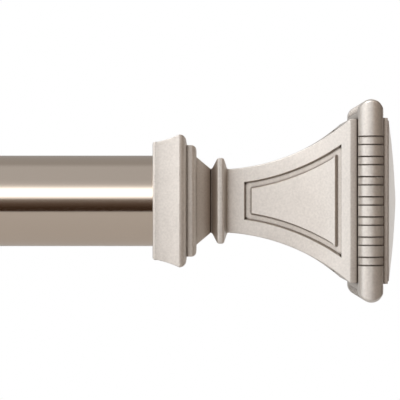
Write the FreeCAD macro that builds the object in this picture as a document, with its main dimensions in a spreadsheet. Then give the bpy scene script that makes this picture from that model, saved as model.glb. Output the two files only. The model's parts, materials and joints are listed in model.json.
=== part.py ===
"""Curtain rod with a square finial at each end and two adjustable wall brackets.

Units are millimetres. The origin is the centre of the right bracket's wall face.
+X runs along the rod to the right finial, +Y points into the wall and +Z is up.
A finial is drawn on its own axis, from the collar's rear edge (0) to the end cap's point.
"""
import FreeCAD, Part
import os
import Sketcher
from FreeCAD import Placement, Rotation, Vector

doc = FreeCAD.newDocument("curtain_rod")
dims = doc.addObject("Spreadsheet::Sheet", "dims")
NODES = []
TINY = 0.01  # millimetres, below which an edge counts as flat
LEAST_CUT = 0.001  # cubic millimetres that a cut takes away at the least

SIZES = {
    # the telescopic rod
    "tube_od": 28.6,
    "tube_wall": 0.8,
    "tube_len": 686.0,
    "slim_od": 25.4,
    "slim_out": 150.0,
    "bush_len": 20.0,
    "bush_lip": 2.0,
    "bush_round": 0.6,
    "run_fit": 0.05,
    "plug_len": 18.0,
    "stud_od": 8.0,
    "stud_back": 4.0,
    "stud_front": 33.0,
    "stud_lead": 1.0,
    # where the brackets hold it
    "grip_gap": 95.0,
    "reach": 89.0,
    # wall plate
    "plate_wide": 44.0,
    "plate_tall": 84.0,
    "plate_thick": 7.0,
    "ledge": 3.5,
    "ledge_in": 3.0,
    "plate_round": 1.2,
    "hole_gap": 60.0,
    "hole_od": 4.5,
    "sink_od": 9.0,
    "sink_deep": 2.6,
    "pin_od": 3.0,
    "pin_sink": 5.8,
    "pin_deep": 1.5,
    "pin_gap": 11.0,
    "pin_below": 0.2,
    "pin_taper": 0.3,
    "pin_short": 0.5,
    # arm sleeve and sliding bar
    "seat_deep": 3.0,
    "sleeve_wide": 18.0,
    "sleeve_front": 62.0,
    "sleeve_floor": 5.0,
    "sleeve_round": 1.0,
    "bar_wide": 12.0,
    "bar_gap": 0.1,
    "bar_back": 12.0,
    "bar_nose": 13.0,
    "bar_chamfer": 0.8,
    "clamp_at": 52.0,
    "clamp_boss": 5.0,
    "join_od": 5.0,
    "join_short": 1.0,
    "pan_over": 2.0,
    "pan_rim": 1.0,
    "pan_tall": 2.4,
    "pan_top": 0.6,
    "pan_bend": 1.4,
    # cradle
    "cup_gap": 0.3,
    "cup_wall": 3.0,
    "cup_wide": 20.0,
    "cup_rise": 8.0,
    "rim_round": 1.0,
    "foot_wide": 16.0,
    "foot_sunk": 0.5,
    "boss_sunk": 1.0,
    "lock_boss": 5.0,
    # locking screws
    "boss_od": 11.0,
    "lock_od": 5.0,
    "tip_len": 2.0,
    "tip_gap": 0.05,
    "shank_len": 11.5,
    "knob_od": 14.0,
    "knob_len": 7.0,
    "knob_round": 1.0,
    "flute_od": 1.6,
    "flutes": 16,
    # finial collar: half widths of the square, and places along the finial
    "socket": 12.0,
    "socket_gap": 0.3,
    "socket_short": 1.0,
    "rear_half": 18.2,
    "rear_round": 0.8,
    "flare_from": 1.5,
    "flare_to": 8.2,
    "flare_half": 20.4,
    "flare_bend": 30.0,
    "collar_front": 10.4,
    "collar_round": 2.2,
    "step_half": 17.2,
    "step_front": 13.5,
    "step_round": 2.5,
    "neck_half": 13.6,
    "seam_at": 17.9,
    "seam_half": 9.95,
    # finial head: ring, flared body and its panels
    "ring_from": 19.6,
    "ring_to": 21.6,
    "ring_half": 13.3,
    "waist_at": 23.4,
    "waist_half": 9.9,
    "body_bend": 62.0,
    "brim_from": 60.3,
    "brim_half": 25.0,
    "brim_front": 62.7,
    "panel_deep": 0.6,
    "panel_from": 28.3,
    "panel_to": 57.8,
    "panel_in": 4.5,
    "panel_rim": 2.2,
    "hollow_from": 36.0,
    "hollow_half": 6.0,
    "mouth_half": 19.7,
    "mouth_from": 59.5,
    # bead frame and end cap
    "bead_round": 3.8,
    "bead_half": 30.8,
    "scoop_deep": 0.4,
    "scoop_wide": 2.6,
    "scoop_pitch": 6.1,
    "scoops": 7,
    "cap_edge": 25.3,
    "cap_step": 1.5,
    "cap_lip": 0.7,
    "cap_round": 0.4,
    "cap_point": 76.2,
    "skirt_gap": 0.1,
    "skirt_len": 8.0,
    "skirt_wall": 3.0,
    # how far a cutter runs past the face that it opens
    "past": 1.0,
}

for row, (alias, number) in enumerate(SIZES.items(), 1):
    dims.set("A%d" % row, alias)
    dims.set("B%d" % row, str(number))
    dims.setAlias("B%d" % row, alias)
doc.recompute()


def value(text):
    """Work out an expression of the sheet's sizes."""
    return float(dims.evalExpression(text))


# Places that follow from the driving sizes.
ROD_UP = "(dims.bar_wide / 2 + dims.cup_wall + dims.cup_gap + dims.tube_od / 2)"
TUBE_IN = "(dims.socket - dims.socket_gap)"
TUBE_RIGHT = "(dims.grip_gap + %s)" % TUBE_IN
TUBE_LEFT = "(%s - dims.tube_len)" % TUBE_RIGHT
SLIM_LEFT = "(%s - dims.slim_out)" % TUBE_LEFT
SLIM_RIGHT = "(%s + dims.tube_len)" % SLIM_LEFT
LEFT_COLLAR = "(%s + %s)" % (SLIM_LEFT, TUBE_IN)
LEFT_BRACKET = "(%s + dims.grip_gap)" % LEFT_COLLAR
BEAD_FRONT = "(dims.brim_front + 2 * dims.bead_round)"
BEAD_MIDDLE = "(dims.bead_half - dims.bead_round)"
TUBE_BORE = "(dims.tube_od / 2 - dims.tube_wall)"
SLIM_BORE = "(dims.slim_od / 2 - dims.tube_wall)"


# ---------------------------------------------------------------- drawing helpers
def bind_point(sketch, edge, end, across, up):
    """Hold one end of an edge at a place given by two expressions."""
    for kind, axis, text in (("DistanceX", -2, across), ("DistanceY", -1, up)):
        number = value(text)
        if abs(number) < 1e-9:
            sketch.addConstraint(Sketcher.Constraint("PointOnObject", edge, end, axis))
            continue
        held = sketch.addConstraint(Sketcher.Constraint(kind, -1, 1, edge, end, number))
        sketch.setExpression("Constraints[%d]" % held, text)


def outline(sketch, corners):
    """Draw a closed outline of (across, up) expressions.

    A third entry bends the side that follows that corner to an arc of that radius.
    A plain radius bulges to the left of the way drawn, and one with a minus to the right.
    """
    places = [Vector(value(corner[0]), value(corner[1]), 0) for corner in corners]
    ends = []
    for index, corner in enumerate(corners):
        start = places[index]
        end = places[(index + 1) % len(places)]
        if len(corner) == 2:
            sketch.addGeometry(Part.LineSegment(start, end), False)
            ends.append((1, 2))
            continue
        text = corner[2].lstrip("-")
        to_left = not corner[2].startswith("-")
        radius = value(text)
        chord = end - start
        sag = radius - (radius ** 2 - (chord.Length / 2) ** 2) ** 0.5
        left = Vector(-chord.y, chord.x, 0).normalize()
        if to_left:
            arc = Part.Arc(end, (start + end) / 2 + left * sag, start)
        else:
            arc = Part.Arc(start, (start + end) / 2 - left * sag, end)
        sketch.addGeometry(arc, False)
        ends.append((2, 1) if to_left else (1, 2))
        bend = sketch.addConstraint(Sketcher.Constraint("Radius", index, radius))
        sketch.setExpression("Constraints[%d]" % bend, text)
    for index, corner in enumerate(corners):
        following = (index + 1) % len(corners)
        meet = Sketcher.Constraint("Coincident", index, ends[index][1], following, ends[following][0])
        sketch.addConstraint(meet)
        bind_point(sketch, index, ends[index][0], corner[0], corner[1])
    return sketch


def mirrored(upper):
    """Close an outline's upper half with its mirror image below the axis."""
    lower = []
    for index in range(len(upper) - 1, -1, -1):
        along, out = upper[index][:2]
        if out == "0":
            continue
        bend = upper[index - 1][2:] if index else ()
        lower.append((along, "-(%s)" % out) + bend)
    return upper + lower


def box_corners(left, right, low, high):
    """The four corners of a rectangle, clockwise."""
    return [(left, low), (left, high), (right, high), (right, low)]


def circle(sketch, across, up, radius):
    """Draw a circle whose centre and radius are expressions."""
    middle = Vector(value(across), value(up), 0)
    edge = sketch.addGeometry(Part.Circle(middle, Vector(0, 0, 1), value(radius)), False)
    held = sketch.addConstraint(Sketcher.Constraint("Radius", edge, value(radius)))
    sketch.setExpression("Constraints[%d]" % held, radius)
    bind_point(sketch, edge, 3, across, up)
    return sketch


def own(body, role):
    """One of a body's own origin planes or axes."""
    return next(item for item in body.Origin.OriginFeatures if item.Role == role)


def sketch_on(body, name, role, offset="0"):
    """A sketch on one of the body's origin planes, moved along its normal."""
    sketch = body.newObject("Sketcher::SketchObject", name)
    sketch.AttachmentSupport = (own(body, role), [""])
    sketch.MapMode = "FlatFace"
    if offset != "0":
        sketch.setExpression("AttachmentOffset.Base.z", offset)
    return sketch


def pad(body, sketch, name, length, both_ways=False):
    """Add material along the sketch's normal."""
    feature = body.newObject("PartDesign::Pad", name)
    feature.Profile = sketch
    feature.SideType = "Symmetric" if both_ways else "One side"
    feature.setExpression("Length", length)
    body.Tip = feature
    doc.recompute()
    return feature


def pocket(body, sketch, name, length, along_normal=False):
    """Take material away, and make sure that some went."""
    before = body.Shape.Volume
    feature = body.newObject("PartDesign::Pocket", name)
    feature.Profile = sketch
    feature.Reversed = along_normal
    feature.setExpression("Length", length)
    body.Tip = feature
    doc.recompute()
    if body.Shape.Volume > before - LEAST_CUT:
        raise RuntimeError("%s cut nothing" % name)
    return feature


def round_edges(body, name, kind, size, wanted):
    """Round or chamfer the edges of the body that the test picks."""
    doc.recompute()
    base = body.Tip
    picked = ["Edge%d" % (number + 1) for number, edge in enumerate(base.Shape.Edges) if wanted(edge)]
    feature = body.newObject("PartDesign::" + kind, name)
    feature.Base = (base, picked)
    feature.setExpression("Radius" if kind == "Fillet" else "Size", size)
    body.Tip = feature
    doc.recompute()
    return feature


def turned(label, half_outline):
    """A turned piece: a half outline of (along, radius) spun about its own X axis."""
    body = doc.addObject("PartDesign::Body", label)
    sketch = outline(sketch_on(body, label + "_outline", "XY_Plane"), half_outline)
    feature = body.newObject("PartDesign::Revolution", label + "_turning")
    feature.Profile = sketch
    feature.ReferenceAxis = (own(body, "X_Axis"), [""])
    feature.Angle = 360
    body.Tip = feature
    doc.recompute()
    return body


def place(piece, along, out, up, turn=None):
    """Put a finished piece in the object's frame and keep it for export."""
    piece.Placement = Placement(Vector(), turn or Rotation())
    for letter, text in (("x", along), ("y", out), ("z", up)):
        piece.setExpression("Placement.Base.%s" % letter, text)
    NODES.append(piece)
    return piece


def boolean(kind, name, base, tool):
    """A Part boolean of two document objects."""
    feature = doc.addObject("Part::" + kind, name)
    feature.Base = base
    feature.Tool = tool
    return feature


def slab(name, corners, turn, width):
    """An outline pulled to both sides of its plane."""
    sketch = outline(doc.addObject("Sketcher::SketchObject", name + "_outline"), corners)
    sketch.Placement = Placement(Vector(), turn)
    feature = doc.addObject("Part::Extrusion", name)
    feature.Base = sketch
    feature.DirMode = "Normal"
    feature.Symmetric = True
    feature.Solid = True
    feature.setExpression("LengthFwd", width)
    return feature


FLAT = Rotation()
UPRIGHT = Rotation(Vector(1, 0, 0), 90)
WIDER_THAN_FINIAL = "4 * dims.bead_half"
WIDER_THAN_CHANNEL = "5 * dims.bead_half"


def moulding(name, upper):
    """A square moulding: one outline seen from above and from the side, mitred at the corners."""
    corners = mirrored(upper)
    level = slab(name + "_level", corners, FLAT, WIDER_THAN_FINIAL)
    upright = slab(name + "_upright", corners, UPRIGHT, WIDER_THAN_FINIAL)
    return boolean("Common", name, level, upright)


def bored(name, base, start, length, radius):
    """The base with a round hole along its own X axis."""
    drill = doc.addObject("Part::Cylinder", name + "_drill")
    drill.setExpression("Radius", radius)
    drill.setExpression("Height", length)
    drill.Placement = Placement(Vector(value(start), 0, 0), Rotation(Vector(0, 1, 0), 90))
    drill.setExpression("Placement.Base.x", start)
    return boolean("Cut", name, base, drill)


def square_block(name, start, length, half):
    """A square block about the X axis."""
    block = doc.addObject("Part::Box", name)
    block.setExpression("Length", length)
    block.setExpression("Width", "2 * (%s)" % half)
    block.setExpression("Height", "2 * (%s)" % half)
    block.setExpression("Placement.Base.x", start)
    block.setExpression("Placement.Base.y", "-(%s)" % half)
    block.setExpression("Placement.Base.z", "-(%s)" % half)
    return block


# ---------------------------------------------------------------- the finial's pieces
def collar(side):
    """Square flared collar with a socket for the tube's end."""
    shape = moulding(side + "collar_block", [
        ("0", "dims.rear_half - dims.rear_round", "dims.rear_round"),
        ("dims.rear_round", "dims.rear_half"),
        ("dims.flare_from", "dims.rear_half", "-dims.flare_bend"),
        ("dims.flare_to", "dims.flare_half", "dims.collar_round"),
        ("dims.collar_front", "dims.flare_half - dims.collar_round"),
        ("dims.collar_front", "dims.step_half"),
        ("dims.step_front - dims.step_round", "dims.step_half", "dims.step_round"),
        ("dims.step_front", "dims.step_half - dims.step_round"),
        ("dims.step_front", "dims.neck_half"),
        ("dims.seam_at", "dims.seam_half"),
    ])
    socket = bored(side + "collar_socket", shape, "-dims.past", "dims.socket + dims.past",
                   "dims.tube_od / 2 + 2 * dims.run_fit")
    return bored(side + "collar", socket, "0", "dims.seam_at + dims.past",
                 "dims.stud_od / 2 + 2 * dims.run_fit")


def head(side):
    """Flared square head with a neck ring, a sunk channel round each face's panel, and a hollow."""
    def flared(name, sunk):
        """The head's outside, or the same outside sunk by the channel's depth."""
        return moulding(name, [
            ("dims.seam_at", "dims.seam_half"),
            ("dims.ring_from", "dims.ring_half"),
            ("dims.ring_to", "dims.ring_half"),
            ("dims.waist_at", "dims.waist_half - (%s)" % sunk, "-dims.body_bend"),
            ("dims.brim_from", "dims.brim_half - (%s)" % sunk),
            ("dims.brim_front", "dims.brim_half - (%s)" % sunk),
        ])

    def panel_edge(inset, back, front):
        """A panel outline that runs beside the flared edge, this far inside it."""
        bend = "dims.body_bend + %s" % inset
        middle_out = "(%s)" % FLARE_MIDDLE_OUT
        lift = "%s - sqrt((%s)^2 - (%s - %s)^2)"
        rear = lift % (middle_out, bend, back, FLARE_MIDDLE_ALONG)
        wide = lift % (middle_out, bend, front, FLARE_MIDDLE_ALONG)
        return mirrored([(back, rear, "-" + bend), (front, wide)])

    outside = flared(side + "head_outside", "0")
    sunk = flared(side + "head_sunk", "dims.panel_deep")
    for number, turn in enumerate((FLAT, UPRIGHT)):
        name = "%schannel_%d" % (side, number)
        outer = slab(name + "_outer", panel_edge("dims.panel_in", "dims.panel_from", "dims.panel_to"),
                     turn, WIDER_THAN_FINIAL)
        inner = slab(name + "_inner", panel_edge("dims.panel_in + dims.panel_rim",
                                                 "dims.panel_from + dims.panel_rim",
                                                 "dims.panel_to - dims.panel_rim"),
                     turn, WIDER_THAN_CHANNEL)
        outside = boolean("Cut", name + "_cut", outside, boolean("Cut", name, outer, inner))
    shape = boolean("Fuse", side + "head_solid", outside, sunk)
    hollow = moulding(side + "head_hollow", [
        ("dims.hollow_from", "dims.hollow_half"),
        ("dims.mouth_from", "dims.mouth_half"),
        ("dims.brim_front + dims.past", "dims.mouth_half"),
    ])
    shell = boolean("Cut", side + "head_shell", shape, hollow)
    return bored(side + "finial_head", shell, "dims.seam_at - dims.past",
                 "dims.stud_front - dims.seam_at + dims.past", "dims.stud_od / 2")


def bead_frame(side):
    """Thick half-round square frame with a run of shallow scoops in the middle of each side."""
    def rounded(name, sunk):
        """The square frame's outside, or the same sunk by the scoops' depth."""
        rise = "dims.bead_round - (%s)" % sunk
        return moulding(name, [
            ("dims.brim_front + (%s)" % sunk, BEAD_MIDDLE, rise),
            ("dims.brim_front + dims.bead_round", "dims.bead_half - (%s)" % sunk, rise),
            ("%s - (%s)" % (BEAD_FRONT, sunk), BEAD_MIDDLE),
        ])

    proud = rounded(side + "bead_proud", "0")
    for number, letters in enumerate(("Width", "Height")):
        slices = []
        other = "Height" if letters == "Width" else "Width"
        for index in range(int(value("dims.scoops"))):
            slot = doc.addObject("Part::Box", "%sscoop_%d_%d" % (side, number, index))
            middle = "(%d - (dims.scoops - 1) / 2) * dims.scoop_pitch" % index
            slot.setExpression("Length", "4 * dims.bead_round")
            slot.setExpression(letters, "dims.scoop_wide")
            slot.setExpression(other, WIDER_THAN_FINIAL)
            slot.setExpression("Placement.Base.x", "dims.brim_front - dims.bead_round")
            narrow, long = ("y", "z") if number == 0 else ("z", "y")
            slot.setExpression("Placement.Base." + narrow, "%s - dims.scoop_wide / 2" % middle)
            slot.setExpression("Placement.Base." + long, "-2 * dims.bead_half")
            slices.append(slot)
        scoops = doc.addObject("Part::Compound", "%sscoops_%d" % (side, number))
        scoops.Links = slices
        proud = boolean("Cut", "%sbead_scooped_%d" % (side, number), proud, scoops)
    solid = boolean("Fuse", side + "bead_solid", proud, rounded(side + "bead_core", "dims.scoop_deep"))
    opening = square_block(side + "bead_opening", "dims.brim_front - dims.past",
                           "2 * dims.bead_round + 2 * dims.past", "dims.mouth_half")
    return boolean("Cut", side + "bead_frame", solid, opening)


def end_cap(side):
    """Shallow pointed cap on a small step, with a square skirt that plugs the frame and the head."""
    step_front = "%s + dims.cap_step" % BEAD_FRONT
    lid = moulding(side + "cap_lid", [
        (BEAD_FRONT, "dims.cap_edge"),
        (step_front, "dims.cap_edge"),
        (step_front, "dims.cap_edge - dims.cap_lip", "dims.cap_round"),
        ("%s + dims.cap_round" % step_front, "dims.cap_edge - dims.cap_lip - dims.cap_round"),
        ("dims.cap_point", "0"),
    ])
    skirt_half = "dims.mouth_half - dims.skirt_gap"
    skirt_from = "%s - dims.skirt_len" % BEAD_FRONT
    skirt = square_block(side + "skirt_outside", skirt_from, "dims.skirt_len", skirt_half)
    inside = square_block(side + "skirt_inside", "%s - dims.past" % skirt_from,
                          "dims.skirt_len + dims.past", "%s - dims.skirt_wall" % skirt_half)
    return boolean("Fuse", side + "end_cap", lid, boolean("Cut", side + "skirt", skirt, inside))


# Centre of the arc that flares the head, from its two ends and its radius.
FLARE_CHORD = "sqrt((dims.brim_from - dims.waist_at)^2 + (dims.brim_half - dims.waist_half)^2)"
FLARE_RISE = "sqrt(dims.body_bend^2 - (%s)^2 / 4)" % FLARE_CHORD
FLARE_MIDDLE_ALONG = (
    "((dims.waist_at + dims.brim_from) / 2 - (dims.brim_half - dims.waist_half) / %s * %s)"
    % (FLARE_CHORD, FLARE_RISE))
FLARE_MIDDLE_OUT = (
    "((dims.waist_half + dims.brim_half) / 2 + (dims.brim_from - dims.waist_at) / %s * %s)"
    % (FLARE_CHORD, FLARE_RISE))


def stud(side):
    """Threaded stud that holds the head to the rod's end plug, drawn at its thread's outside size."""
    radius = "dims.stud_od / 2 - dims.run_fit"
    return turned(side + "stud", [
        ("-dims.stud_back", "0"),
        ("-dims.stud_back", "%s - dims.stud_lead" % radius),
        ("-dims.stud_back + dims.stud_lead", radius),
        ("dims.stud_front - dims.stud_lead", radius),
        ("dims.stud_front", "%s - dims.stud_lead" % radius),
        ("dims.stud_front", "0"),
    ])


def finial(side, along, turn):
    """All pieces of one finial, put at one end of the rod."""
    for make in (collar, head, bead_frame, end_cap, stud):
        place(make(side), along, "-dims.reach", ROD_UP, turn)


# ---------------------------------------------------------------- the telescopic rod
def ring(label, start, end, inner, outer):
    """A plain round tube from start to end along X."""
    return turned(label, box_corners(start, end, inner, outer))


def rod():
    """Two tubes, the bushes between them, and the threaded plugs in their outer ends."""
    slim_radius = "dims.slim_od / 2"
    at_axis = ("0", "-dims.reach", ROD_UP)
    place(ring("outer_tube", TUBE_LEFT, TUBE_RIGHT, TUBE_BORE, "dims.tube_od / 2"), *at_axis)
    place(ring("inner_tube", SLIM_LEFT, SLIM_RIGHT, SLIM_BORE, slim_radius), *at_axis)
    bush_bore = "%s + dims.run_fit" % slim_radius
    mouth_bush = turned("mouth_bush", [
        ("%s - dims.bush_lip" % TUBE_LEFT, bush_bore),
        ("%s - dims.bush_lip" % TUBE_LEFT, "dims.tube_od / 2 - dims.bush_round", "dims.bush_round"),
        ("%s - dims.bush_lip + dims.bush_round" % TUBE_LEFT, "dims.tube_od / 2"),
        (TUBE_LEFT, "dims.tube_od / 2"),
        (TUBE_LEFT, TUBE_BORE),
        ("%s + dims.bush_len" % TUBE_LEFT, TUBE_BORE),
        ("%s + dims.bush_len" % TUBE_LEFT, bush_bore),
    ])
    place(mouth_bush, *at_axis)
    tail = ring("tail_bush", "%s - dims.bush_len" % SLIM_RIGHT, SLIM_RIGHT, slim_radius,
                "%s - dims.run_fit" % TUBE_BORE)
    place(tail, *at_axis)
    thread = "dims.stud_od / 2"
    plug_from = "%s - dims.plug_len" % TUBE_RIGHT
    plug_to = "%s + dims.plug_len" % SLIM_LEFT
    place(ring("outer_tube_plug", plug_from, TUBE_RIGHT, thread, TUBE_BORE), *at_axis)
    place(ring("inner_tube_plug", SLIM_LEFT, plug_to, thread, SLIM_BORE), *at_axis)
    reducer = ring("left_collar_reducer", "%s - dims.socket + dims.socket_short" % LEFT_COLLAR, LEFT_COLLAR,
                   "%s + 2 * dims.run_fit" % slim_radius, "dims.tube_od / 2 + 2 * dims.run_fit")
    place(reducer, *at_axis)


# ---------------------------------------------------------------- one bracket
def hole_pair(body, name, middle, half_outline):
    """Two turned holes, one this far above the middle and its mirror image below."""
    sketch = outline(sketch_on(body, name + "_outline", "YZ_Plane"), half_outline)
    behind, ahead = "dims.past", "-dims.plate_thick - dims.past"
    ends = (Vector(value(behind), value(middle), 0), Vector(value(ahead), value(middle), 0))
    axis = sketch.addGeometry(Part.LineSegment(*ends), True)
    bind_point(sketch, axis, 1, behind, middle)
    bind_point(sketch, axis, 2, ahead, middle)
    before = body.Shape.Volume
    groove = body.newObject("PartDesign::Groove", name)
    groove.Profile = sketch
    groove.ReferenceAxis = (sketch, ["Axis0"])
    groove.Angle = 360
    body.Tip = groove
    doc.recompute()
    if body.Shape.Volume > before - LEAST_CUT:
        raise RuntimeError("%s cut nothing" % name)
    pair = body.newObject("PartDesign::Mirrored", name + "_pair")
    pair.Originals = [groove]
    pair.MirrorPlane = (own(body, "XY_Plane"), [""])
    body.Tip = pair
    doc.recompute()


def runs_out(edge):
    """An edge that runs out from the wall."""
    return edge.BoundBox.YLength > TINY


def wall_plate(side):
    """Stepped plate with two countersunk wall holes, and a seat and two holes for the sleeve."""
    body = doc.addObject("PartDesign::Body", side + "wall_plate")
    half_wide = "dims.plate_wide / 2"
    half_tall = "dims.plate_tall / 2"
    base = outline(sketch_on(body, side + "plate_base", "XZ_Plane"),
                   box_corners("-" + half_wide, half_wide, "-" + half_tall, half_tall))
    pad(body, base, side + "plate_slab", "dims.ledge")
    top = outline(sketch_on(body, side + "plate_top", "XZ_Plane"),
                  box_corners("-%s + dims.ledge_in" % half_wide, "%s - dims.ledge_in" % half_wide,
                              "-%s + dims.ledge_in" % half_tall, "%s - dims.ledge_in" % half_tall))
    pad(body, top, side + "plate_raised", "dims.plate_thick")

    def away_from_wall(edge):
        """Edges of the two steps' rims and their upright corners."""
        return edge.BoundBox.YMax < -TINY or runs_out(edge)

    round_edges(body, side + "plate_rounded", "Fillet", "dims.plate_round", away_from_wall)
    seat_half = "(dims.sleeve_wide / 2 + dims.run_fit)"
    seat = outline(sketch_on(body, side + "plate_seat", "XZ_Plane", "dims.plate_thick - dims.seat_deep"),
                   box_corners("-" + seat_half, seat_half, "-" + seat_half, seat_half))
    pocket(body, seat, side + "plate_seat_cut", "dims.seat_deep + dims.past", along_normal=True)
    front = "-dims.plate_thick"
    shaft = "dims.hole_gap / 2 + dims.hole_od / 2"
    sink = "dims.hole_gap / 2 + dims.sink_od / 2"
    hole_pair(body, side + "wall_hole", "dims.hole_gap / 2", [
        ("dims.past", "dims.hole_gap / 2"),
        ("dims.past", shaft),
        (front + " + dims.sink_deep", shaft),
        (front, sink),
        (front + " - dims.past", sink),
        (front + " - dims.past", "dims.hole_gap / 2"),
    ])
    shaft = "dims.pin_gap / 2 + dims.pin_od / 2"
    sink = "dims.pin_gap / 2 + dims.pin_sink / 2"
    hole_pair(body, side + "pin_hole", "dims.pin_gap / 2", [
        ("dims.past", "dims.pin_gap / 2"),
        ("dims.past", sink),
        ("0", sink),
        ("-dims.pin_deep", shaft),
        (front, shaft),
        (front, "dims.pin_gap / 2"),
    ])
    return body


def arm_sleeve(side):
    """Square tube with a closed back, and a threaded boss below for the clamp screw."""
    body = doc.addObject("PartDesign::Body", side + "arm_sleeve")
    half = "dims.sleeve_wide / 2"
    back = "(dims.plate_thick - dims.seat_deep)"
    section = outline(sketch_on(body, side + "sleeve_section", "XZ_Plane", back),
                      box_corners("-" + half, half, "-" + half, half))
    pad(body, section, side + "sleeve_block", "dims.sleeve_front - %s" % back)
    round_edges(body, side + "sleeve_rounded", "Fillet", "dims.sleeve_round", runs_out)
    boss = circle(sketch_on(body, side + "sleeve_boss", "XY_Plane"), "0", "-dims.clamp_at",
                  "dims.boss_od / 2")
    boss_pad = pad(body, boss, side + "sleeve_boss_pad", "%s + dims.clamp_boss" % half)
    boss_pad.Reversed = True
    doc.recompute()
    inner = "(dims.bar_wide / 2 + dims.bar_gap)"
    bore = outline(sketch_on(body, side + "sleeve_bore", "XZ_Plane", "%s + dims.sleeve_floor" % back),
                   box_corners("-" + inner, inner, "-" + inner, inner))
    pocket(body, bore, side + "sleeve_bore_cut", "dims.sleeve_front", along_normal=True)
    thread = circle(sketch_on(body, side + "sleeve_thread", "XY_Plane"), "0", "-dims.clamp_at",
                    "dims.lock_od / 2 + dims.run_fit")
    pocket(body, thread, side + "sleeve_thread_cut", "%s + dims.clamp_boss + dims.past" % half)
    pins = sketch_on(body, side + "sleeve_pins", "XZ_Plane", back)
    for height in ("dims.pin_gap / 2", "-dims.pin_gap / 2"):
        circle(pins, "0", height, "dims.pin_od / 2")
    pocket(body, pins, side + "sleeve_pins_cut", "dims.sleeve_floor", along_normal=True)
    return body


def arm_bar(side):
    """Square bar that slides in the sleeve and carries the cradle on its nose."""
    body = doc.addObject("PartDesign::Body", side + "arm_bar")
    half = "dims.bar_wide / 2"
    section = outline(sketch_on(body, side + "bar_section", "XZ_Plane", "dims.bar_back"),
                      box_corners("-" + half, half, "-" + half, half))
    pad(body, section, side + "bar_block", "dims.reach + dims.bar_nose - dims.bar_back")
    hole = circle(sketch_on(body, side + "bar_hole", "XY_Plane", half), "0", "-dims.reach",
                  "dims.join_od / 2 + dims.run_fit")
    pocket(body, hole, side + "bar_hole_cut", "dims.bar_wide")

    def at_ends(edge):
        """The rims of the bar's two end faces."""
        return edge.BoundBox.YLength < TINY and edge.Length > value("dims.bar_wide") - TINY

    round_edges(body, side + "bar_rounded", "Chamfer", "dims.bar_chamfer", at_ends)
    return body


def cradle(side, cup_radius):
    """Open-topped cup on a flat foot, with a threaded boss in front for the rod's lock screw."""
    body = doc.addObject("PartDesign::Body", side + "cradle")
    outer = "(dims.tube_od / 2 + dims.cup_gap + dims.cup_wall)"
    width = "dims.cup_wide"
    section = outline(sketch_on(body, side + "cup_section", "YZ_Plane"), [
        ("-" + outer, "0"),
        ("-" + outer, "dims.cup_rise - dims.rim_round", "dims.rim_round"),
        ("-%s + dims.rim_round" % outer, "dims.cup_rise"),
        ("-(%s) - dims.rim_round" % cup_radius, "dims.cup_rise", "dims.rim_round"),
        ("-(%s)" % cup_radius, "dims.cup_rise - dims.rim_round"),
        ("-(%s)" % cup_radius, "0", "-(%s)" % cup_radius),
        ("0", "-(%s)" % cup_radius, "-(%s)" % cup_radius),
        (cup_radius, "0"),
        (cup_radius, "dims.cup_rise - dims.rim_round", "dims.rim_round"),
        ("%s + dims.rim_round" % cup_radius, "dims.cup_rise"),
        ("%s - dims.rim_round" % outer, "dims.cup_rise", "dims.rim_round"),
        (outer, "dims.cup_rise - dims.rim_round"),
        (outer, "0", outer),
        ("0", "-" + outer, outer),
    ])
    pad(body, section, side + "cup_strap", width, both_ways=True)
    foot = outline(sketch_on(body, side + "cup_foot", "YZ_Plane"),
                   box_corners("-dims.foot_wide / 2", "dims.foot_wide / 2", "-" + outer,
                               "-%s + dims.cup_wall - dims.foot_sunk" % outer))
    pad(body, foot, side + "cup_foot_pad", "dims.bar_wide", both_ways=True)
    boss = circle(sketch_on(body, side + "cup_boss", "XZ_Plane", "%s - dims.boss_sunk" % outer),
                  "0", "0", "dims.boss_od / 2")
    pad(body, boss, side + "cup_boss_pad", "dims.lock_boss + dims.boss_sunk")
    thread = circle(sketch_on(body, side + "cup_thread", "XZ_Plane", "dims.past"), "0", "0",
                    "dims.lock_od / 2 + dims.run_fit")
    pocket(body, thread, side + "cup_thread_cut", "%s + dims.lock_boss" % outer, along_normal=True)
    join = circle(sketch_on(body, side + "cup_join", "XY_Plane", "-%s - dims.past" % outer), "0", "0",
                  "dims.join_od / 2")
    pocket(body, join, side + "cup_join_cut", "dims.cup_wall", along_normal=True)
    return body


def sleeve_screws(label):
    """Two countersunk screws that hold the sleeve to the plate from behind."""
    shank = "dims.pin_od / 2"
    length = "dims.plate_thick - dims.seat_deep + dims.sleeve_floor - dims.pin_short"
    screws = []
    for name, height in (("_upper", "dims.pin_gap / 2"), ("_lower", "-dims.pin_gap / 2")):
        screw = turned(label + name, [
            ("dims.pin_below", "0"),
            ("dims.pin_below", "dims.pin_sink / 2 - dims.pin_taper"),
            ("dims.pin_deep", shank),
            (length, shank),
            (length, "0"),
        ])
        screw.setExpression("Placement.Base.z", height)
        screw.Placement = Placement(Vector(0, 0, value(height)), Rotation(Vector(0, 0, 1), -90))
        screws.append(screw)
    pair = doc.addObject("Part::Compound", label)
    pair.Links = screws
    return pair


def pan_screw(label, length):
    """Low round-headed screw, its shank along its own X axis from the head's underside."""
    shank = "dims.join_od / 2"
    return turned(label, [
        ("-dims.pan_tall", "0"),
        ("-dims.pan_tall", "%s + dims.pan_top" % shank, "dims.pan_bend"),
        ("-dims.pan_rim", "%s + dims.pan_over" % shank),
        ("0", "%s + dims.pan_over" % shank),
        ("0", shank),
        (length, shank),
        (length, "0"),
    ])


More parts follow.
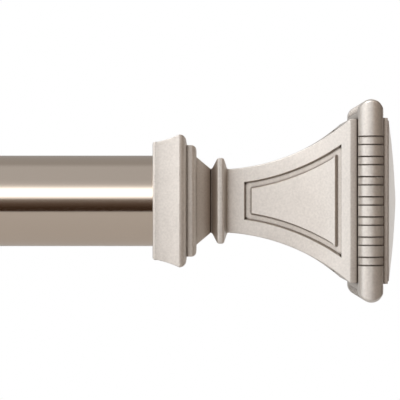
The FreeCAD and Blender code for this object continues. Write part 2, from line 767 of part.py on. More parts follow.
def thumb_screw(label):
    """Fluted thumb screw. Its own X axis points at what it presses, and 0 is the pad's far face."""
    shank = "dims.lock_od / 2"
    neck_back = "-dims.tip_len - dims.shank_len"
    knob_back = "%s - dims.knob_len" % neck_back
    knob = "dims.knob_od / 2"
    body = turned(label, [
        (knob_back, "0"),
        (knob_back, "%s - dims.knob_round" % knob, "dims.knob_round"),
        ("%s + dims.knob_round" % knob_back, knob),
        ("%s - dims.knob_round" % neck_back, knob, "dims.knob_round"),
        (neck_back, "%s - dims.knob_round" % knob),
        (neck_back, shank),
        ("-dims.tip_len", shank),
        ("-dims.tip_len", "0"),
    ])
    flute = circle(sketch_on(body, label + "_flute", "YZ_Plane", "%s - dims.past" % knob_back), "0", knob,
                   "dims.flute_od / 2")
    cut = pocket(body, flute, label + "_flute_cut", "dims.knob_len + 2 * dims.past", along_normal=True)
    ring_of = body.newObject("PartDesign::PolarPattern", label + "_flutes")
    ring_of.Originals = [cut]
    ring_of.Axis = (own(body, "X_Axis"), [""])
    ring_of.Angle = 360
    ring_of.setExpression("Occurrences", "dims.flutes")
    body.Tip = ring_of
    doc.recompute()
    return body


def pressure_pad(label):
    """Small round pad that the thumb screw pushes, in the same threaded hole."""
    return turned(label, box_corners("-dims.tip_len", "0", "0", "dims.lock_od / 2"))


def bracket(side, along, cup_radius, tube_radius):
    """All pieces of one bracket; its cup is cut for the tube that it carries."""
    place(wall_plate(side), along, "0", "0")
    place(arm_sleeve(side), along, "0", "0")
    into_wall = Rotation(Vector(0, 0, 1), 90)
    upward = Rotation(Vector(0, 1, 0), -90)
    place(sleeve_screws(side + "sleeve_screws"), along, "0", "0")
    place(arm_bar(side), along, "0", "0")
    place(cradle(side, cup_radius), along, "-dims.reach", ROD_UP)
    join_length = "dims.bar_wide + dims.cup_wall - dims.join_short"
    place(pan_screw(side + "cradle_screw", join_length), along, "-dims.reach", "-dims.bar_wide / 2", upward)
    clamp_up = "-dims.bar_wide / 2 - dims.tip_gap"
    for make, name in ((pressure_pad, "arm_lock_pad"), (thumb_screw, "arm_lock_screw")):
        place(make(side + name), along, "-dims.clamp_at", clamp_up, upward)
    lock_out = "-dims.reach - %s - dims.tip_gap" % tube_radius
    for make, name in ((pressure_pad, "rod_lock_pad"), (thumb_screw, "rod_lock_screw")):
        place(make(side + name), along, lock_out, ROD_UP, into_wall)


# ---------------------------------------------------------------- the assembly
rod()
finial("right_", "dims.grip_gap", FLAT)
finial("left_", LEFT_COLLAR, Rotation(Vector(0, 0, 1), 180))
bracket("right_", "0", "(dims.tube_od / 2 + dims.cup_gap)", "dims.tube_od / 2")
bracket("left_", LEFT_BRACKET, "(dims.slim_od / 2 + dims.cup_gap)", "dims.slim_od / 2")
doc.recompute()

for item in doc.Objects:
    if "Invalid" in item.State or "Error" in item.State:
        raise RuntimeError("%s failed: %s" % (item.Label, item.State))
for node in NODES:
    if node.Shape.isNull() or not node.Shape.isValid():
        raise RuntimeError("%s has no valid shape" % node.Label)

os.makedirs("parts", exist_ok=True)
for node in NODES:
    node.Shape.exportStep("parts/%s.step" % node.Label)
    print(node.Label, len(node.Shape.Solids), "solid", round(node.Shape.Volume), "mm3")
print(len(NODES), "nodes written")
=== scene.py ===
# %% [markdown]
# A curtain rod with square finials and two wall brackets.
#
# The frame is the engineering model: it holds the sizes, the bodies and the joints.
# This lesson dresses it. Every piece is modelled in metres in the frame's own axes:
# +X runs along the rod to the right finial, +Y points into the wall and +Z is up.

# %% Load the frame
import json
import math
import bmesh
import bpy
from mathutils import Matrix, Vector


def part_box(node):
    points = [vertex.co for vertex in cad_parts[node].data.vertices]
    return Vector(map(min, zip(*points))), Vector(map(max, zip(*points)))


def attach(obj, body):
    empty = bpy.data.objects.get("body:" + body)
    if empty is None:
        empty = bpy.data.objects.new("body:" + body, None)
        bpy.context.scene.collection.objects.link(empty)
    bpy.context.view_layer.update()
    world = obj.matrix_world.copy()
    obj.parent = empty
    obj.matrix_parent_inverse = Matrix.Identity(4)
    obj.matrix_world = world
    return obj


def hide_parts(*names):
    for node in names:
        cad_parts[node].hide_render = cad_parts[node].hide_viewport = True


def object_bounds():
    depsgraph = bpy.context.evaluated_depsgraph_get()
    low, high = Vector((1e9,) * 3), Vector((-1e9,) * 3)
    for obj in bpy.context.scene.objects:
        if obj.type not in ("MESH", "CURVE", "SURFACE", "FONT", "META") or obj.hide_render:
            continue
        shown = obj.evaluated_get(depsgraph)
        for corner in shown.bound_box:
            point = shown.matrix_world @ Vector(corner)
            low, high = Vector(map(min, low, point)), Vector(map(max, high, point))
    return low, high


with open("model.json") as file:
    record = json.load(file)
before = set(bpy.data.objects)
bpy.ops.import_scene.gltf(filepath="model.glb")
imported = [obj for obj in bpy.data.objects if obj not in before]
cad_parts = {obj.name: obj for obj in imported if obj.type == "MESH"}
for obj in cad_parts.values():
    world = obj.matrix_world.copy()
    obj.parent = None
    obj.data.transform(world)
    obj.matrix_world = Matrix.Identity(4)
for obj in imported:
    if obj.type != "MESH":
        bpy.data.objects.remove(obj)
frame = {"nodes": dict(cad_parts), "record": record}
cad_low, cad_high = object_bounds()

print("frame box in metres:", [round(value, 4) for value in (*cad_low, *cad_high)])

# %% [markdown]
# Places could be typed in as numbers, but then they go wrong when the design changes. So each
# one is read from the frame. The rod's axis is the middle of its tube, and each finial starts
# at its collar's rear edge.

# %% Places read from the frame
MM = 0.001
tube_low, tube_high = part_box("outer_tube")
slim_low, slim_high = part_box("inner_tube")
rod_y = (tube_low.y + tube_high.y) / 2
rod_z = (tube_low.z + tube_high.z) / 2
tube_radius = (tube_high.z - tube_low.z) / 2
slim_radius = (slim_high.z - slim_low.z) / 2
collar_at = {"right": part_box("right_collar")[0].x, "left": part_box("left_collar")[1].x}
bracket_at = {}
for side in ("right", "left"):
    plate_low, plate_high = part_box(side + "_wall_plate")
    bracket_at[side] = (plate_low.x + plate_high.x) / 2
print("rod axis", round(rod_y, 4), round(rod_z, 4), "collars", collar_at, "brackets", bracket_at)

# %% [markdown]
# The camera is a long lens, level with the rod and square to it. A short lens close by would
# fill the picture too, but it would show the finial's far side much smaller than its near one.
# A long lens keeps the two almost the same size.

# %% Camera
CAMERA_AWAY = 0.739
CAMERA_ALONG = 14.6 * MM
CAMERA_RAISED = 0.27 * MM
LENS = 211.0
camera_data = bpy.data.cameras.new("studio_camera")
camera_data.lens = LENS
camera_data.sensor_width = 36.0
camera_data.clip_start = 0.05
camera_data.clip_end = 20.0
camera = bpy.data.objects.new("studio_camera", camera_data)
camera.location = (collar_at["right"] + CAMERA_ALONG, rod_y - CAMERA_AWAY, rod_z + CAMERA_RAISED)
camera.rotation_euler = (math.radians(90), 0, 0)
bpy.context.scene.collection.objects.link(camera)
bpy.context.scene.camera = camera
bpy.context.scene.view_settings.view_transform = "Standard"
print("camera", [round(value, 4) for value in camera.location])

# %% [markdown]
# A shader is a net of nodes. The net could be drawn by hand in the editor. In a script, three
# small helpers place the nodes that come back most often, so that a formula is one line.

# %% Node helpers
def math_node(tree, operation, *values):
    """A Math node; an input may be a socket or a number."""
    node = tree.nodes.new("ShaderNodeMath")
    node.operation = operation
    for index, value in enumerate(values):
        if isinstance(value, bpy.types.NodeSocket):
            tree.links.new(value, node.inputs[index])
        else:
            node.inputs[index].default_value = value
    return node.outputs[0]


def range_node(tree, value, low, high, to_low, to_high):
    """A Map Range node, eased at both ends."""
    node = tree.nodes.new("ShaderNodeMapRange")
    node.interpolation_type = "SMOOTHSTEP"
    tree.links.new(value, node.inputs["Value"])
    for name, number in (("From Min", low), ("From Max", high), ("To Min", to_low), ("To Max", to_high)):
        node.inputs[name].default_value = number
    return node.outputs["Result"]


def mixed(tree, kind, factor, first, second):
    """A colour Mix node; inputs may be sockets or plain values."""
    node = tree.nodes.new("ShaderNodeMix")
    node.data_type = "RGBA"
    node.blend_type = kind
    for index, value in ((0, factor), (6, first), (7, second)):
        if isinstance(value, bpy.types.NodeSocket):
            tree.links.new(value, node.inputs[index])
        else:
            node.inputs[index].default_value = value
    return node.outputs[2]


print("node helpers:", [helper.__name__ for helper in (math_node, range_node, mixed)])

# %% [markdown]
# Polished metal shows the room, so the room is the light. It could be a picture of a studio or
# a ring of lamps, but colour ramps are easier to change and need no file.
# One bright band lies above eye level in front, with a dark, warm band below it. A rod then
# gets the long white streak and the brown line of real plated tube. A second ramp makes the
# room brighter on the left than on the right, which is what models the flare. A third one is
# for the half behind the object. The camera itself sees plain white there.

# %% World
MID_GREY = (0.53, 0.53, 0.53)
BRIGHTEST = 2.2
FRONT_FADE = (-0.25, -0.6)
BACK_FADE = (0.05, 0.35)
world = bpy.data.worlds.new("studio")
bpy.context.scene.world = world
world.use_nodes = True
nodes, links = world.node_tree.nodes, world.node_tree.links
nodes.clear()


def light_ramp(along_axis, stops):
    """Light that changes along one axis of the world; stops are (cosine, r, g, b)."""
    ramp = nodes.new("ShaderNodeValToRGB")
    links.new(math_node(world.node_tree, "MULTIPLY_ADD", along_axis, 0.5, 0.5), ramp.inputs[0])
    for number, (cosine, *light) in enumerate(stops):
        if number >= len(ramp.color_ramp.elements):
            ramp.color_ramp.elements.new(1.0)
        stop = ramp.color_ramp.elements[number]
        stop.position = 0.5 + 0.5 * cosine
        stop.color = [level / BRIGHTEST for level in light] + [1.0]
    bright = (BRIGHTEST, BRIGHTEST, BRIGHTEST, 1)
    return mixed(world.node_tree, "MULTIPLY", 1.0, ramp.outputs["Color"], bright)


def at_height(degrees, *light):
    """One stop of the height ramp."""
    return (math.sin(math.radians(degrees)), *light)


split = nodes.new("ShaderNodeSeparateXYZ")
links.new(nodes.new("ShaderNodeTexCoord").outputs["Generated"], split.inputs[0])
bands = light_ramp(split.outputs["Z"], [
    at_height(-36, 0.54, 0.50, 0.48), at_height(-30, 0.03, 0.015, 0.007),
    at_height(-17, 0.05, 0.028, 0.016), at_height(-6, 0.12, 0.085, 0.065),
    at_height(3.5, 0.26, 0.23, 0.21), at_height(12.5, 2.2, 2.2, 2.2),
    at_height(29, 2.2, 2.2, 2.2), at_height(36, 0.95, 0.95, 0.95),
    at_height(43, 0.60, 0.60, 0.60), at_height(53, *MID_GREY)])
sideways = light_ramp(split.outputs["X"], [
    (-1.0, 2.2, 2.2, 2.2), (-0.87, 2.0, 2.0, 2.0), (-0.70, 1.5, 1.5, 1.5), (-0.35, 1.12, 1.12, 1.12),
    (0.0, 1.0, 1.0, 1.0), (0.35, 0.50, 0.42, 0.35), (0.75, 0.30, 0.22, 0.16), (1.0, 0.28, 0.21, 0.15)])
in_front = range_node(world.node_tree, split.outputs["Y"], *FRONT_FADE, 0.0, 1.0)
room = mixed(world.node_tree, "MIX", in_front, (*MID_GREY, 1), bands)
near_half = mixed(world.node_tree, "MULTIPLY", 1.0, room, sideways)
behind = range_node(world.node_tree, split.outputs["Y"], *BACK_FADE, 0.0, 1.0)
far_half = light_ramp(split.outputs["X"], [
    (-1.0, 0.65, 0.62, 0.59), (-0.4, 0.42, 0.41, 0.40), (0.05, 0.38, 0.37, 0.36), (0.2, 0.75, 0.74, 0.73),
    (0.3, 1.45, 1.44, 1.42), (0.4, 1.40, 1.39, 1.37), (0.52, 0.20, 0.16, 0.13), (1.0, 0.06, 0.04, 0.03)])
studio_light = nodes.new("ShaderNodeBackground")
links.new(mixed(world.node_tree, "MIX", behind, near_half, far_half), studio_light.inputs["Color"])
paper = nodes.new("ShaderNodeBackground")
paper.inputs["Color"].default_value = (1, 1, 1, 1)
seen = nodes.new("ShaderNodeMixShader")
links.new(nodes.new("ShaderNodeLightPath").outputs["Is Camera Ray"], seen.inputs[0])
links.new(studio_light.outputs[0], seen.inputs[1])
links.new(paper.outputs[0], seen.inputs[2])
links.new(seen.outputs[0], nodes.new("ShaderNodeOutputWorld").inputs["Surface"])
print("world nodes:", len(nodes))

# %% [markdown]
# One large soft lamp stands in front, up and to the left. It gives the flared faces their
# bright end and puts the upper and left walls of every groove in shade. A sun would do that
# too, but its shadows are hard. The floor is a sheet of pale paper below the object, and it
# only stages it.

# %% Key lamp and floor
KEY_WIDE, KEY_TALL, KEY_POWER = 0.9, 0.7, 3.6
KEY_FROM = Vector((-1.1, -1.0, 0.95))
aim = Vector((collar_at["right"] + 40 * MM, rod_y, rod_z))
key_data = bpy.data.lights.new("key_lamp", "AREA")
key_data.shape = "RECTANGLE"
key_data.size = KEY_WIDE
key_data.size_y = KEY_TALL
key_data.energy = KEY_POWER
key = bpy.data.objects.new("key_lamp", key_data)
key.location = aim + KEY_FROM
key.rotation_euler = (aim - key.location).to_track_quat("-Z", "Y").to_euler()
bpy.context.scene.collection.objects.link(key)

FLOOR_DROP = 0.30
FLOOR_HALF = (1.7, 0.85, 1.0)
FLOOR_BACK = 0.17
bm = bmesh.new()
bmesh.ops.create_grid(bm, x_segments=1, y_segments=1, size=1.0)
bmesh.ops.scale(bm, verts=bm.verts, vec=FLOOR_HALF)
floor_middle = ((cad_low.x + cad_high.x) / 2, FLOOR_BACK, rod_z - FLOOR_DROP)
bmesh.ops.translate(bm, verts=bm.verts, vec=floor_middle)
floor_mesh = bpy.data.meshes.new("studio_floor")
bm.to_mesh(floor_mesh)
bm.free()
floor = bpy.data.objects.new("studio_floor", floor_mesh)
bpy.context.scene.collection.objects.link(floor)
floor_material = bpy.data.materials.new("floor_paper")
floor_material.use_nodes = True
floor_shader = floor_material.node_tree.nodes["Principled BSDF"]
floor_shader.inputs["Base Color"].default_value = (0.72, 0.71, 0.70, 1)
floor_shader.inputs["Roughness"].default_value = 0.9
floor_mesh.materials.append(floor_material)
print("floor at", round(rod_z - FLOOR_DROP, 3))

# %% [markdown]
# Metal that has been cast and painted isn't one flat colour: flakes in the paint give it a
# fine grain. A picture of noise could do it, but a Noise Texture has no seams and no file.
# Several finishes use it, so it is a node group, built once, with an input for its strength.

# %% Node group: metallic grain
def new_group(name, inputs, outputs):
    """A shader node group with named sockets; returns the group and its two end nodes."""
    group = bpy.data.node_groups.new(name, "ShaderNodeTree")
    for label, kind, value in inputs:
        socket = group.interface.new_socket(name=label, in_out="INPUT", socket_type=kind)
        if value is not None:
            socket.default_value = value
    for label, kind in outputs:
        group.interface.new_socket(name=label, in_out="OUTPUT", socket_type=kind)
    return group, group.nodes.new("NodeGroupInput"), group.nodes.new("NodeGroupOutput")


def noise(tree, vector, scale, detail):
    """A Noise Texture's value on the given coordinates."""
    node = tree.nodes.new("ShaderNodeTexNoise")
    node.inputs["Scale"].default_value = scale
    node.inputs["Detail"].default_value = detail
    tree.links.new(vector, node.inputs["Vector"])
    return node.outputs["Fac"]


grain_group, grain_in, grain_out = new_group(
    "metallic_grain",
    [("Color", "NodeSocketColor", (0.6, 0.6, 0.6, 1)), ("Amount", "NodeSocketFloat", 0.1),
     ("Roughness", "NodeSocketFloat", 0.4), ("Lift", "NodeSocketFloat", 0.05)],
    [("Color", "NodeSocketColor"), ("Roughness", "NodeSocketFloat"), ("Normal", "NodeSocketVector")])
place = grain_group.nodes.new("ShaderNodeTexCoord").outputs["Object"]
flake = noise(grain_group, place, 1500.0, 3.0)
cloud = noise(grain_group, place, 60.0, 4.0)
flake_shift = math_node(grain_group, "SUBTRACT", flake, 0.5)
cloud_shift = math_node(grain_group, "SUBTRACT", cloud, 0.5)
both = math_node(grain_group, "ADD", flake_shift, math_node(grain_group, "MULTIPLY", cloud_shift, 0.5))
speckle = math_node(grain_group, "MULTIPLY", both, grain_in.outputs["Amount"])
factor = math_node(grain_group, "ADD", speckle, 1.0)
shade = grain_group.nodes.new("ShaderNodeCombineColor")
for socket in shade.inputs[:3]:
    grain_group.links.new(factor, socket)
tinted = mixed(grain_group, "MULTIPLY", 1.0, grain_in.outputs["Color"], shade.outputs[0])
grain_group.links.new(tinted, grain_out.inputs["Color"])
gentler = math_node(grain_group, "MULTIPLY", grain_in.outputs["Amount"], 0.6)
uneven = math_node(grain_group, "MULTIPLY", both, gentler)
gloss = math_node(grain_group, "ADD", grain_in.outputs["Roughness"], uneven)
grain_group.links.new(gloss, grain_out.inputs["Roughness"])
bump = grain_group.nodes.new("ShaderNodeBump")
bump.inputs["Distance"].default_value = 0.05 * MM
grain_group.links.new(grain_in.outputs["Lift"], bump.inputs["Strength"])
grain_group.links.new(flake, bump.inputs["Height"])
grain_group.links.new(bump.outputs[0], grain_out.inputs["Normal"])
print("grain group nodes:", len(grain_group.nodes))

# %% [markdown]
# Recesses get painted shade: their colour is made darker than that of open faces, on top of the
# shade that the lamps cast. It could be painted on each piece by hand, but an Ambient Occlusion
# node finds the hollows by itself. It looks at two reaches: a wide one for the feet of the
# mouldings, a short one for grooves.

# %% Node group: painted shade in recesses
# Warm brown colour of the painted shade at the feet of the mouldings.
PAINTED_NOOK_SHADE = (0.30, 0.21, 0.14, 1)
painted_shade_group, painted_shade_in, painted_shade_out = new_group(
    "painted_recess_shade",
    [("Color", "NodeSocketColor", (0.6, 0.6, 0.6, 1)), ("Tint", "NodeSocketColor", (0.1, 0.08, 0.06, 1)),
     ("Amount", "NodeSocketFloat", 0.6), ("Reach", "NodeSocketFloat", 1.5 * MM),
     ("Wide Amount", "NodeSocketFloat", 0.72), ("Wide Reach", "NodeSocketFloat", 7.0 * MM)],
    [("Color", "NodeSocketColor")])


def hollowness(reach, open_at, shut_at):
    """How shut in a point is, within this reach: 0 in the open and 1 in a tight corner."""
    hollow = painted_shade_group.nodes.new("ShaderNodeAmbientOcclusion")
    hollow.samples = 8
    painted_shade_group.links.new(reach, hollow.inputs["Distance"])
    return range_node(painted_shade_group, hollow.outputs["AO"], shut_at, open_at, 1.0, 0.0)


# Painted shade: the colour turns warm brown in wide nooks and near black in narrow grooves, by how shut in
# each point is.
nook_shade = math_node(painted_shade_group, "MULTIPLY", hollowness(painted_shade_in.outputs["Wide Reach"], 0.97, 0.45),
                 painted_shade_in.outputs["Wide Amount"])
crevice_shade = math_node(painted_shade_group, "MULTIPLY", hollowness(painted_shade_in.outputs["Reach"], 0.86, 0.62),
                    painted_shade_in.outputs["Amount"])
shaded = mixed(painted_shade_group, "MULTIPLY", nook_shade, painted_shade_in.outputs["Color"], PAINTED_NOOK_SHADE)
shade_painted = mixed(painted_shade_group, "MIX", crevice_shade, shaded, painted_shade_in.outputs["Tint"])
painted_shade_group.links.new(shade_painted, painted_shade_out.inputs["Color"])
print("recess group nodes:", len(painted_shade_group.nodes))

# %% [markdown]
# Drawn and plated tube keeps very fine lines along its length. Anisotropic gloss would hint at
# them, but it shows no lines from close by. A Noise Texture stretched along X does, in the
# roughness and in a faint bump.

# %% Node group: fine brush lines along the rod
brush_group, brush_in, brush_out = new_group(
    "brush_lines",
    [("Strength", "NodeSocketFloat", 0.05), ("Roughness", "NodeSocketFloat", 0.2),
     ("Spread", "NodeSocketFloat", 0.05)],
    [("Roughness", "NodeSocketFloat"), ("Normal", "NodeSocketVector")])
stretch = brush_group.nodes.new("ShaderNodeMapping")
stretch.inputs["Scale"].default_value = (0.02, 1.0, 1.0)
along_rod = brush_group.nodes.new("ShaderNodeTexCoord").outputs["Object"]
brush_group.links.new(along_rod, stretch.inputs["Vector"])
strokes = noise(brush_group, stretch.outputs[0], 2500.0, 3.0)
stroke_shift = math_node(brush_group, "SUBTRACT", strokes, 0.5)
spread = math_node(brush_group, "MULTIPLY", stroke_shift, brush_in.outputs["Spread"])
stroke_gloss = math_node(brush_group, "ADD", brush_in.outputs["Roughness"], spread)
brush_group.links.new(stroke_gloss, brush_out.inputs["Roughness"])
line_bump = brush_group.nodes.new("ShaderNodeBump")
line_bump.inputs["Distance"].default_value = 0.02 * MM
brush_group.links.new(brush_in.outputs["Strength"], line_bump.inputs["Strength"])
brush_group.links.new(strokes, line_bump.inputs["Height"])
brush_group.links.new(line_bump.outputs[0], brush_out.inputs["Normal"])
print("brush group nodes:", len(brush_group.nodes))

# %% [markdown]
# The finishes. A metallic paint is a metal with a broad, soft gloss, plating is a metal with a
# tight one, and nylon is no metal at all. Each could be its own net of nodes, but two functions
# make all the metals, so that they differ only in their values.

# %% Finishes
FINISHES = {}
# Near-black colour of the painted shade in grooves.
PAINTED_GROOVE_SHADE = (0.035, 0.024, 0.016, 1)


def finish(name):
    """Add a material to the finishes; returns its tree and its Principled BSDF."""
    material = bpy.data.materials.new(name)
    material.use_nodes = True
    FINISHES[name] = material
    return material.node_tree, material.node_tree.nodes["Principled BSDF"]


def use_group(tree, group, **values):
    """A group node with some of its inputs set."""
    node = tree.nodes.new("ShaderNodeGroup")
    node.node_tree = group
    for label, value in values.items():
        node.inputs[label.replace("_", " ")].default_value = value
    return node


def painted_casting(name, color, grain, roughness, metallic, shade_amount):
    """Metallic paint on a casting: grain all over, painted shade in the recesses."""
    tree, shader = finish(name)
    grains = use_group(tree, grain_group, Color=color, Amount=grain, Roughness=roughness, Lift=0.12)
    # Painted shade: the recess group darkens the base colour in hollows and grooves.
    recess_shading = use_group(tree, painted_shade_group, Tint=PAINTED_GROOVE_SHADE, Amount=shade_amount, Reach=1.1 * MM)
    tree.links.new(grains.outputs["Color"], recess_shading.inputs["Color"])
    tree.links.new(recess_shading.outputs["Color"], shader.inputs["Base Color"])
    tree.links.new(grains.outputs["Roughness"], shader.inputs["Roughness"])
    tree.links.new(grains.outputs["Normal"], shader.inputs["Normal"])
    shader.inputs["Metallic"].default_value = metallic


def plated(name, color, roughness, spread, strength):
    """Plated metal with fine brush lines."""
    tree, shader = finish(name)
    lines = use_group(tree, brush_group, Roughness=roughness, Spread=spread, Strength=strength)
    tree.links.new(lines.outputs["Roughness"], shader.inputs["Roughness"])
    tree.links.new(lines.outputs["Normal"], shader.inputs["Normal"])
    grains = use_group(tree, grain_group, Color=color, Amount=0.03)
    tree.links.new(grains.outputs["Color"], shader.inputs["Base Color"])
    shader.inputs["Metallic"].default_value = 1.0


def moulded(name, color, roughness):
    """Moulded plastic with a faint grain."""
    tree, shader = finish(name)
    grains = use_group(tree, grain_group, Color=color, Amount=0.05, Roughness=roughness, Lift=0.1)
    tree.links.new(grains.outputs["Color"], shader.inputs["Base Color"])
    tree.links.new(grains.outputs["Roughness"], shader.inputs["Roughness"])
    tree.links.new(grains.outputs["Normal"], shader.inputs["Normal"])


painted_casting("cast_finish", (0.80, 0.76, 0.715, 1),
                grain=0.30, roughness=0.36, metallic=0.75, shade_amount=0.95)
painted_casting("bracket_finish", (0.70, 0.66, 0.62, 1),
                grain=0.12, roughness=0.36, metallic=0.9, shade_amount=0.6)
plated("tube_plate", (0.70, 0.60, 0.51, 1), roughness=0.12, spread=0.05, strength=0.05)
plated("screw_steel", (0.62, 0.61, 0.60, 1), roughness=0.28, spread=0.08, strength=0.1)
plated("pad_brass", (0.78, 0.60, 0.30, 1), roughness=0.3, spread=0.08, strength=0.1)
painted_casting("plug_zinc", (0.55, 0.55, 0.55, 1),
                grain=0.2, roughness=0.5, metallic=1.0, shade_amount=0.5)
moulded("bush_nylon", (0.74, 0.72, 0.68, 1), roughness=0.5)
print("finishes:", sorted(FINISHES))

# %% [markdown]
# The pads, studs, plugs and the other pieces inside keep the shape that they have in the frame
# and only get a finish. The record names a slot for each node, so a loop does all of them.
# The nodes that a detailed piece stands for later get theirs here too, and are then hidden.

# %% Finish every CAD node
slot_of = {entry["node"]: entry["material_slot"] for entry in frame["record"]["subparts"]}
body_of = {}
for body, members in frame["record"]["behaviour"]["bodies"].items():
    body_of.update(dict.fromkeys(members, body))
for node_name, node_object in frame["nodes"].items():
    node_object.data.materials.clear()
    node_object.data.materials.append(FINISHES[slot_of[node_name]])
print("nodes:", len(slot_of), "bodies:", len(set(body_of.values())))

# %% [markdown]
# Mouldings are drawn as outlines: straight runs and arcs. A curve object could be drawn and
# converted, but a few functions that give the points of an arc keep every radius a number.

# %% Arcs
def arc(centre, radius, start, end, steps):
    """Points on an arc, from one angle to another in degrees, both ends included."""
    points = []
    for step in range(steps + 1):
        angle = math.radians(start + (end - start) * step / steps)
        points.append((centre[0] + radius * math.cos(angle), centre[1] + radius * math.sin(angle)))
    return points


def hollow_centre(start, end, radius):
    """Centre, outside the outline, of an arc that dips towards the axis between two points."""
    first, last = Vector(start), Vector(end)
    chord = last - first
    lift = math.sqrt(radius ** 2 - chord.length_squared / 4)
    return (first + last) / 2 + Vector((-chord.y, chord.x)).normalized() * lift


def hollow_arc(start, end, radius, steps):
    """Points on that arc, both ends included."""
    centre = hollow_centre(start, end, radius)
    angles = [math.degrees(math.atan2(out - centre.y, along - centre.x)) for along, out in (start, end)]
    return arc(centre, radius, *angles, steps)


def spaced(start, end, count):
    """Evenly spaced numbers, both ends included."""
    return [start + (end - start) * number / count for number in range(count + 1)]


print("quarter round in two steps:", arc((0, 0), 1, 90, 0, 2))

# %% [markdown]
# A lathe turns round pieces, and Spin is Blender's lathe. A square moulding is a turning too,
# with only four steps: its outline is drawn on the diagonal, so the four flats come out square,
# with a true mitre at each corner. Lofting four sides would leave the mitres to be fitted.
# Real edges are never quite sharp, so a Bevel on the sharp ones follows.

# %% Turning
def turning(profile, steps, square=False, closed=False):
    """Spin (along, out) points in millimetres about the X axis."""
    bm = bmesh.new()
    verts = [bm.verts.new((along * MM, out * MM, out * MM if square else 0)) for along, out in profile]
    pairs = list(zip(verts, verts[1:] + (verts[:1] if closed else [])))
    edges = [bm.edges.new(pair) for pair in pairs]
    bmesh.ops.spin(bm, geom=verts + edges, cent=(0, 0, 0), axis=(1, 0, 0), angle=math.tau,
                   steps=steps, use_merge=True)
    bmesh.ops.remove_doubles(bm, verts=bm.verts, dist=0.001 * MM)
    bmesh.ops.recalc_face_normals(bm, faces=bm.faces)
    return bm


def soften(bm, size, sharper_than=28, segments=3, pick=lambda edge: True):
    """Round every edge that turns more sharply than this many degrees."""
    sharp = [edge for edge in bm.edges if edge.is_manifold
             and edge.calc_face_angle() > math.radians(sharper_than) and pick(edge)]
    bmesh.ops.bevel(bm, geom=sharp, offset=size * MM, offset_type="OFFSET", affect="EDGES",
                    segments=segments, profile=0.5, material=-1, clamp_overlap=True, loop_slide=True)


sample = turning([(0, 0), (0, 10), (5, 10), (5, 0)], 4, square=True)
soften(sample, 0.5)
print("a softened square block has", len(sample.faces), "faces")
sample.free()

# %% [markdown]
# Every piece is finished the same way: smooth shading with its sharp edges kept, the finish of
# the node that it stands for, and a body to ride on. The two finials are one design, so the
# left one is the same mesh turned half round. A mirror would do too, as it is symmetrical.

# %% Finished pieces
SHARP_FROM = 35


def finished(bm, name, *nodes):
    """Make the mesh a piece that stands for these nodes and rides with them."""
    mesh = bpy.data.meshes.new(name)
    bm.to_mesh(mesh)
    bm.free()
    mesh.polygons.foreach_set("use_smooth", [True] * len(mesh.polygons))
    mesh.set_sharp_from_angle(angle=math.radians(SHARP_FROM))
    piece = bpy.data.objects.new(name, mesh)
    bpy.context.scene.collection.objects.link(piece)
    mesh.materials.append(FINISHES[slot_of[nodes[0]]])
    even = piece.modifiers.new("even_shading", "WEIGHTED_NORMAL")
    even.keep_sharp = True
    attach(piece, body_of[nodes[0]])
    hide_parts(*nodes)
    print(name, len(mesh.polygons), "faces")


def on_the_rod(bm, side):
    """Move a finial's mesh from its own axis to its end of the rod."""
    if side == "left":
        bmesh.ops.rotate(bm, verts=bm.verts, cent=(0, 0, 0), matrix=Matrix.Rotation(math.pi, 3, "Z"))
    bmesh.ops.translate(bm, verts=bm.verts, vec=(collar_at[side], rod_y, rod_z))
    return bm


print("edges stay sharp from", SHARP_FROM, "degrees")

# %% [markdown]
# A hole in a flat face is the awkward part of mesh work, because one face can't hold a hole.
# So the wall of the hole is made first, as a row of rims bridged two by two. Then the flat face
# is taken out and filled again between its own edge and the rims. A flat step between two
# rims is filled too, because Bridge can't tell which way round two rims in one plane belong
# together. The piece stays closed, as the real one is. A Boolean would also do it, but it
# leaves a less even mesh.

# %% Holes
TINY = 0.001


def flat_face(bm, axis, place):
    """The largest face that lies square to an axis at this place."""
    flat = [face for face in bm.faces
            if all(abs(vert.co[axis] / MM - place) < TINY for vert in face.verts)]
    return max(flat, key=lambda face: face.calc_area())


def fill(bm, *rims):
    """Fill the flat space inside the first rim and outside the others."""
    bmesh.ops.triangle_fill(bm, use_beauty=True, edges=[edge for rim in rims for edge in rim])


def hole(bm, frame_of_hole, stages, segments=32):
    """The wall of a hole through rims of (place, radius); returns its first and last rim."""
    rims = []
    for along, radius in stages:
        at = frame_of_hole @ Matrix.Translation((0, 0, along * MM))
        rim = bmesh.ops.create_circle(bm, segments=segments, radius=radius * MM, matrix=at)
        rims.append(list(dict.fromkeys(edge for vert in rim["verts"] for edge in vert.link_edges)))
    for number in range(1, len(rims)):
        before, after = rims[number - 1], rims[number]
        if abs(stages[number][0] - stages[number - 1][0]) < TINY:
            fill(bm, before, after)
        else:
            bmesh.ops.bridge_loops(bm, edges=before + after)
    return rims[0], rims[-1]


def refill(bm, face, *rims):
    """Take a flat face out and fill it again round the rims of holes."""
    border = list(face.edges)
    bmesh.ops.delete(bm, geom=[face], context="FACES_ONLY")
    fill(bm, border, *rims)


OUT = Matrix.Rotation(math.radians(90), 4, "X")
DOWN = Matrix.Rotation(math.radians(180), 4, "X")
ALONG = Matrix.Rotation(math.radians(90), 4, "Y")
SQUARED = Matrix.Rotation(math.radians(45), 4, "Z")
CORNER = math.sqrt(2)
print("a square hole is a round one with 4 segments, and", round(CORNER, 3), "times as large")

# %% [markdown]
# The collar is a square casting with a round socket, which hides the tube's end. Its sides
# flare to a soft rim, and a square step and a short tapered neck follow. It could be a block
# with loop cuts pushed in and out, but one outline, turned in four steps, shapes all four sides
# at once.

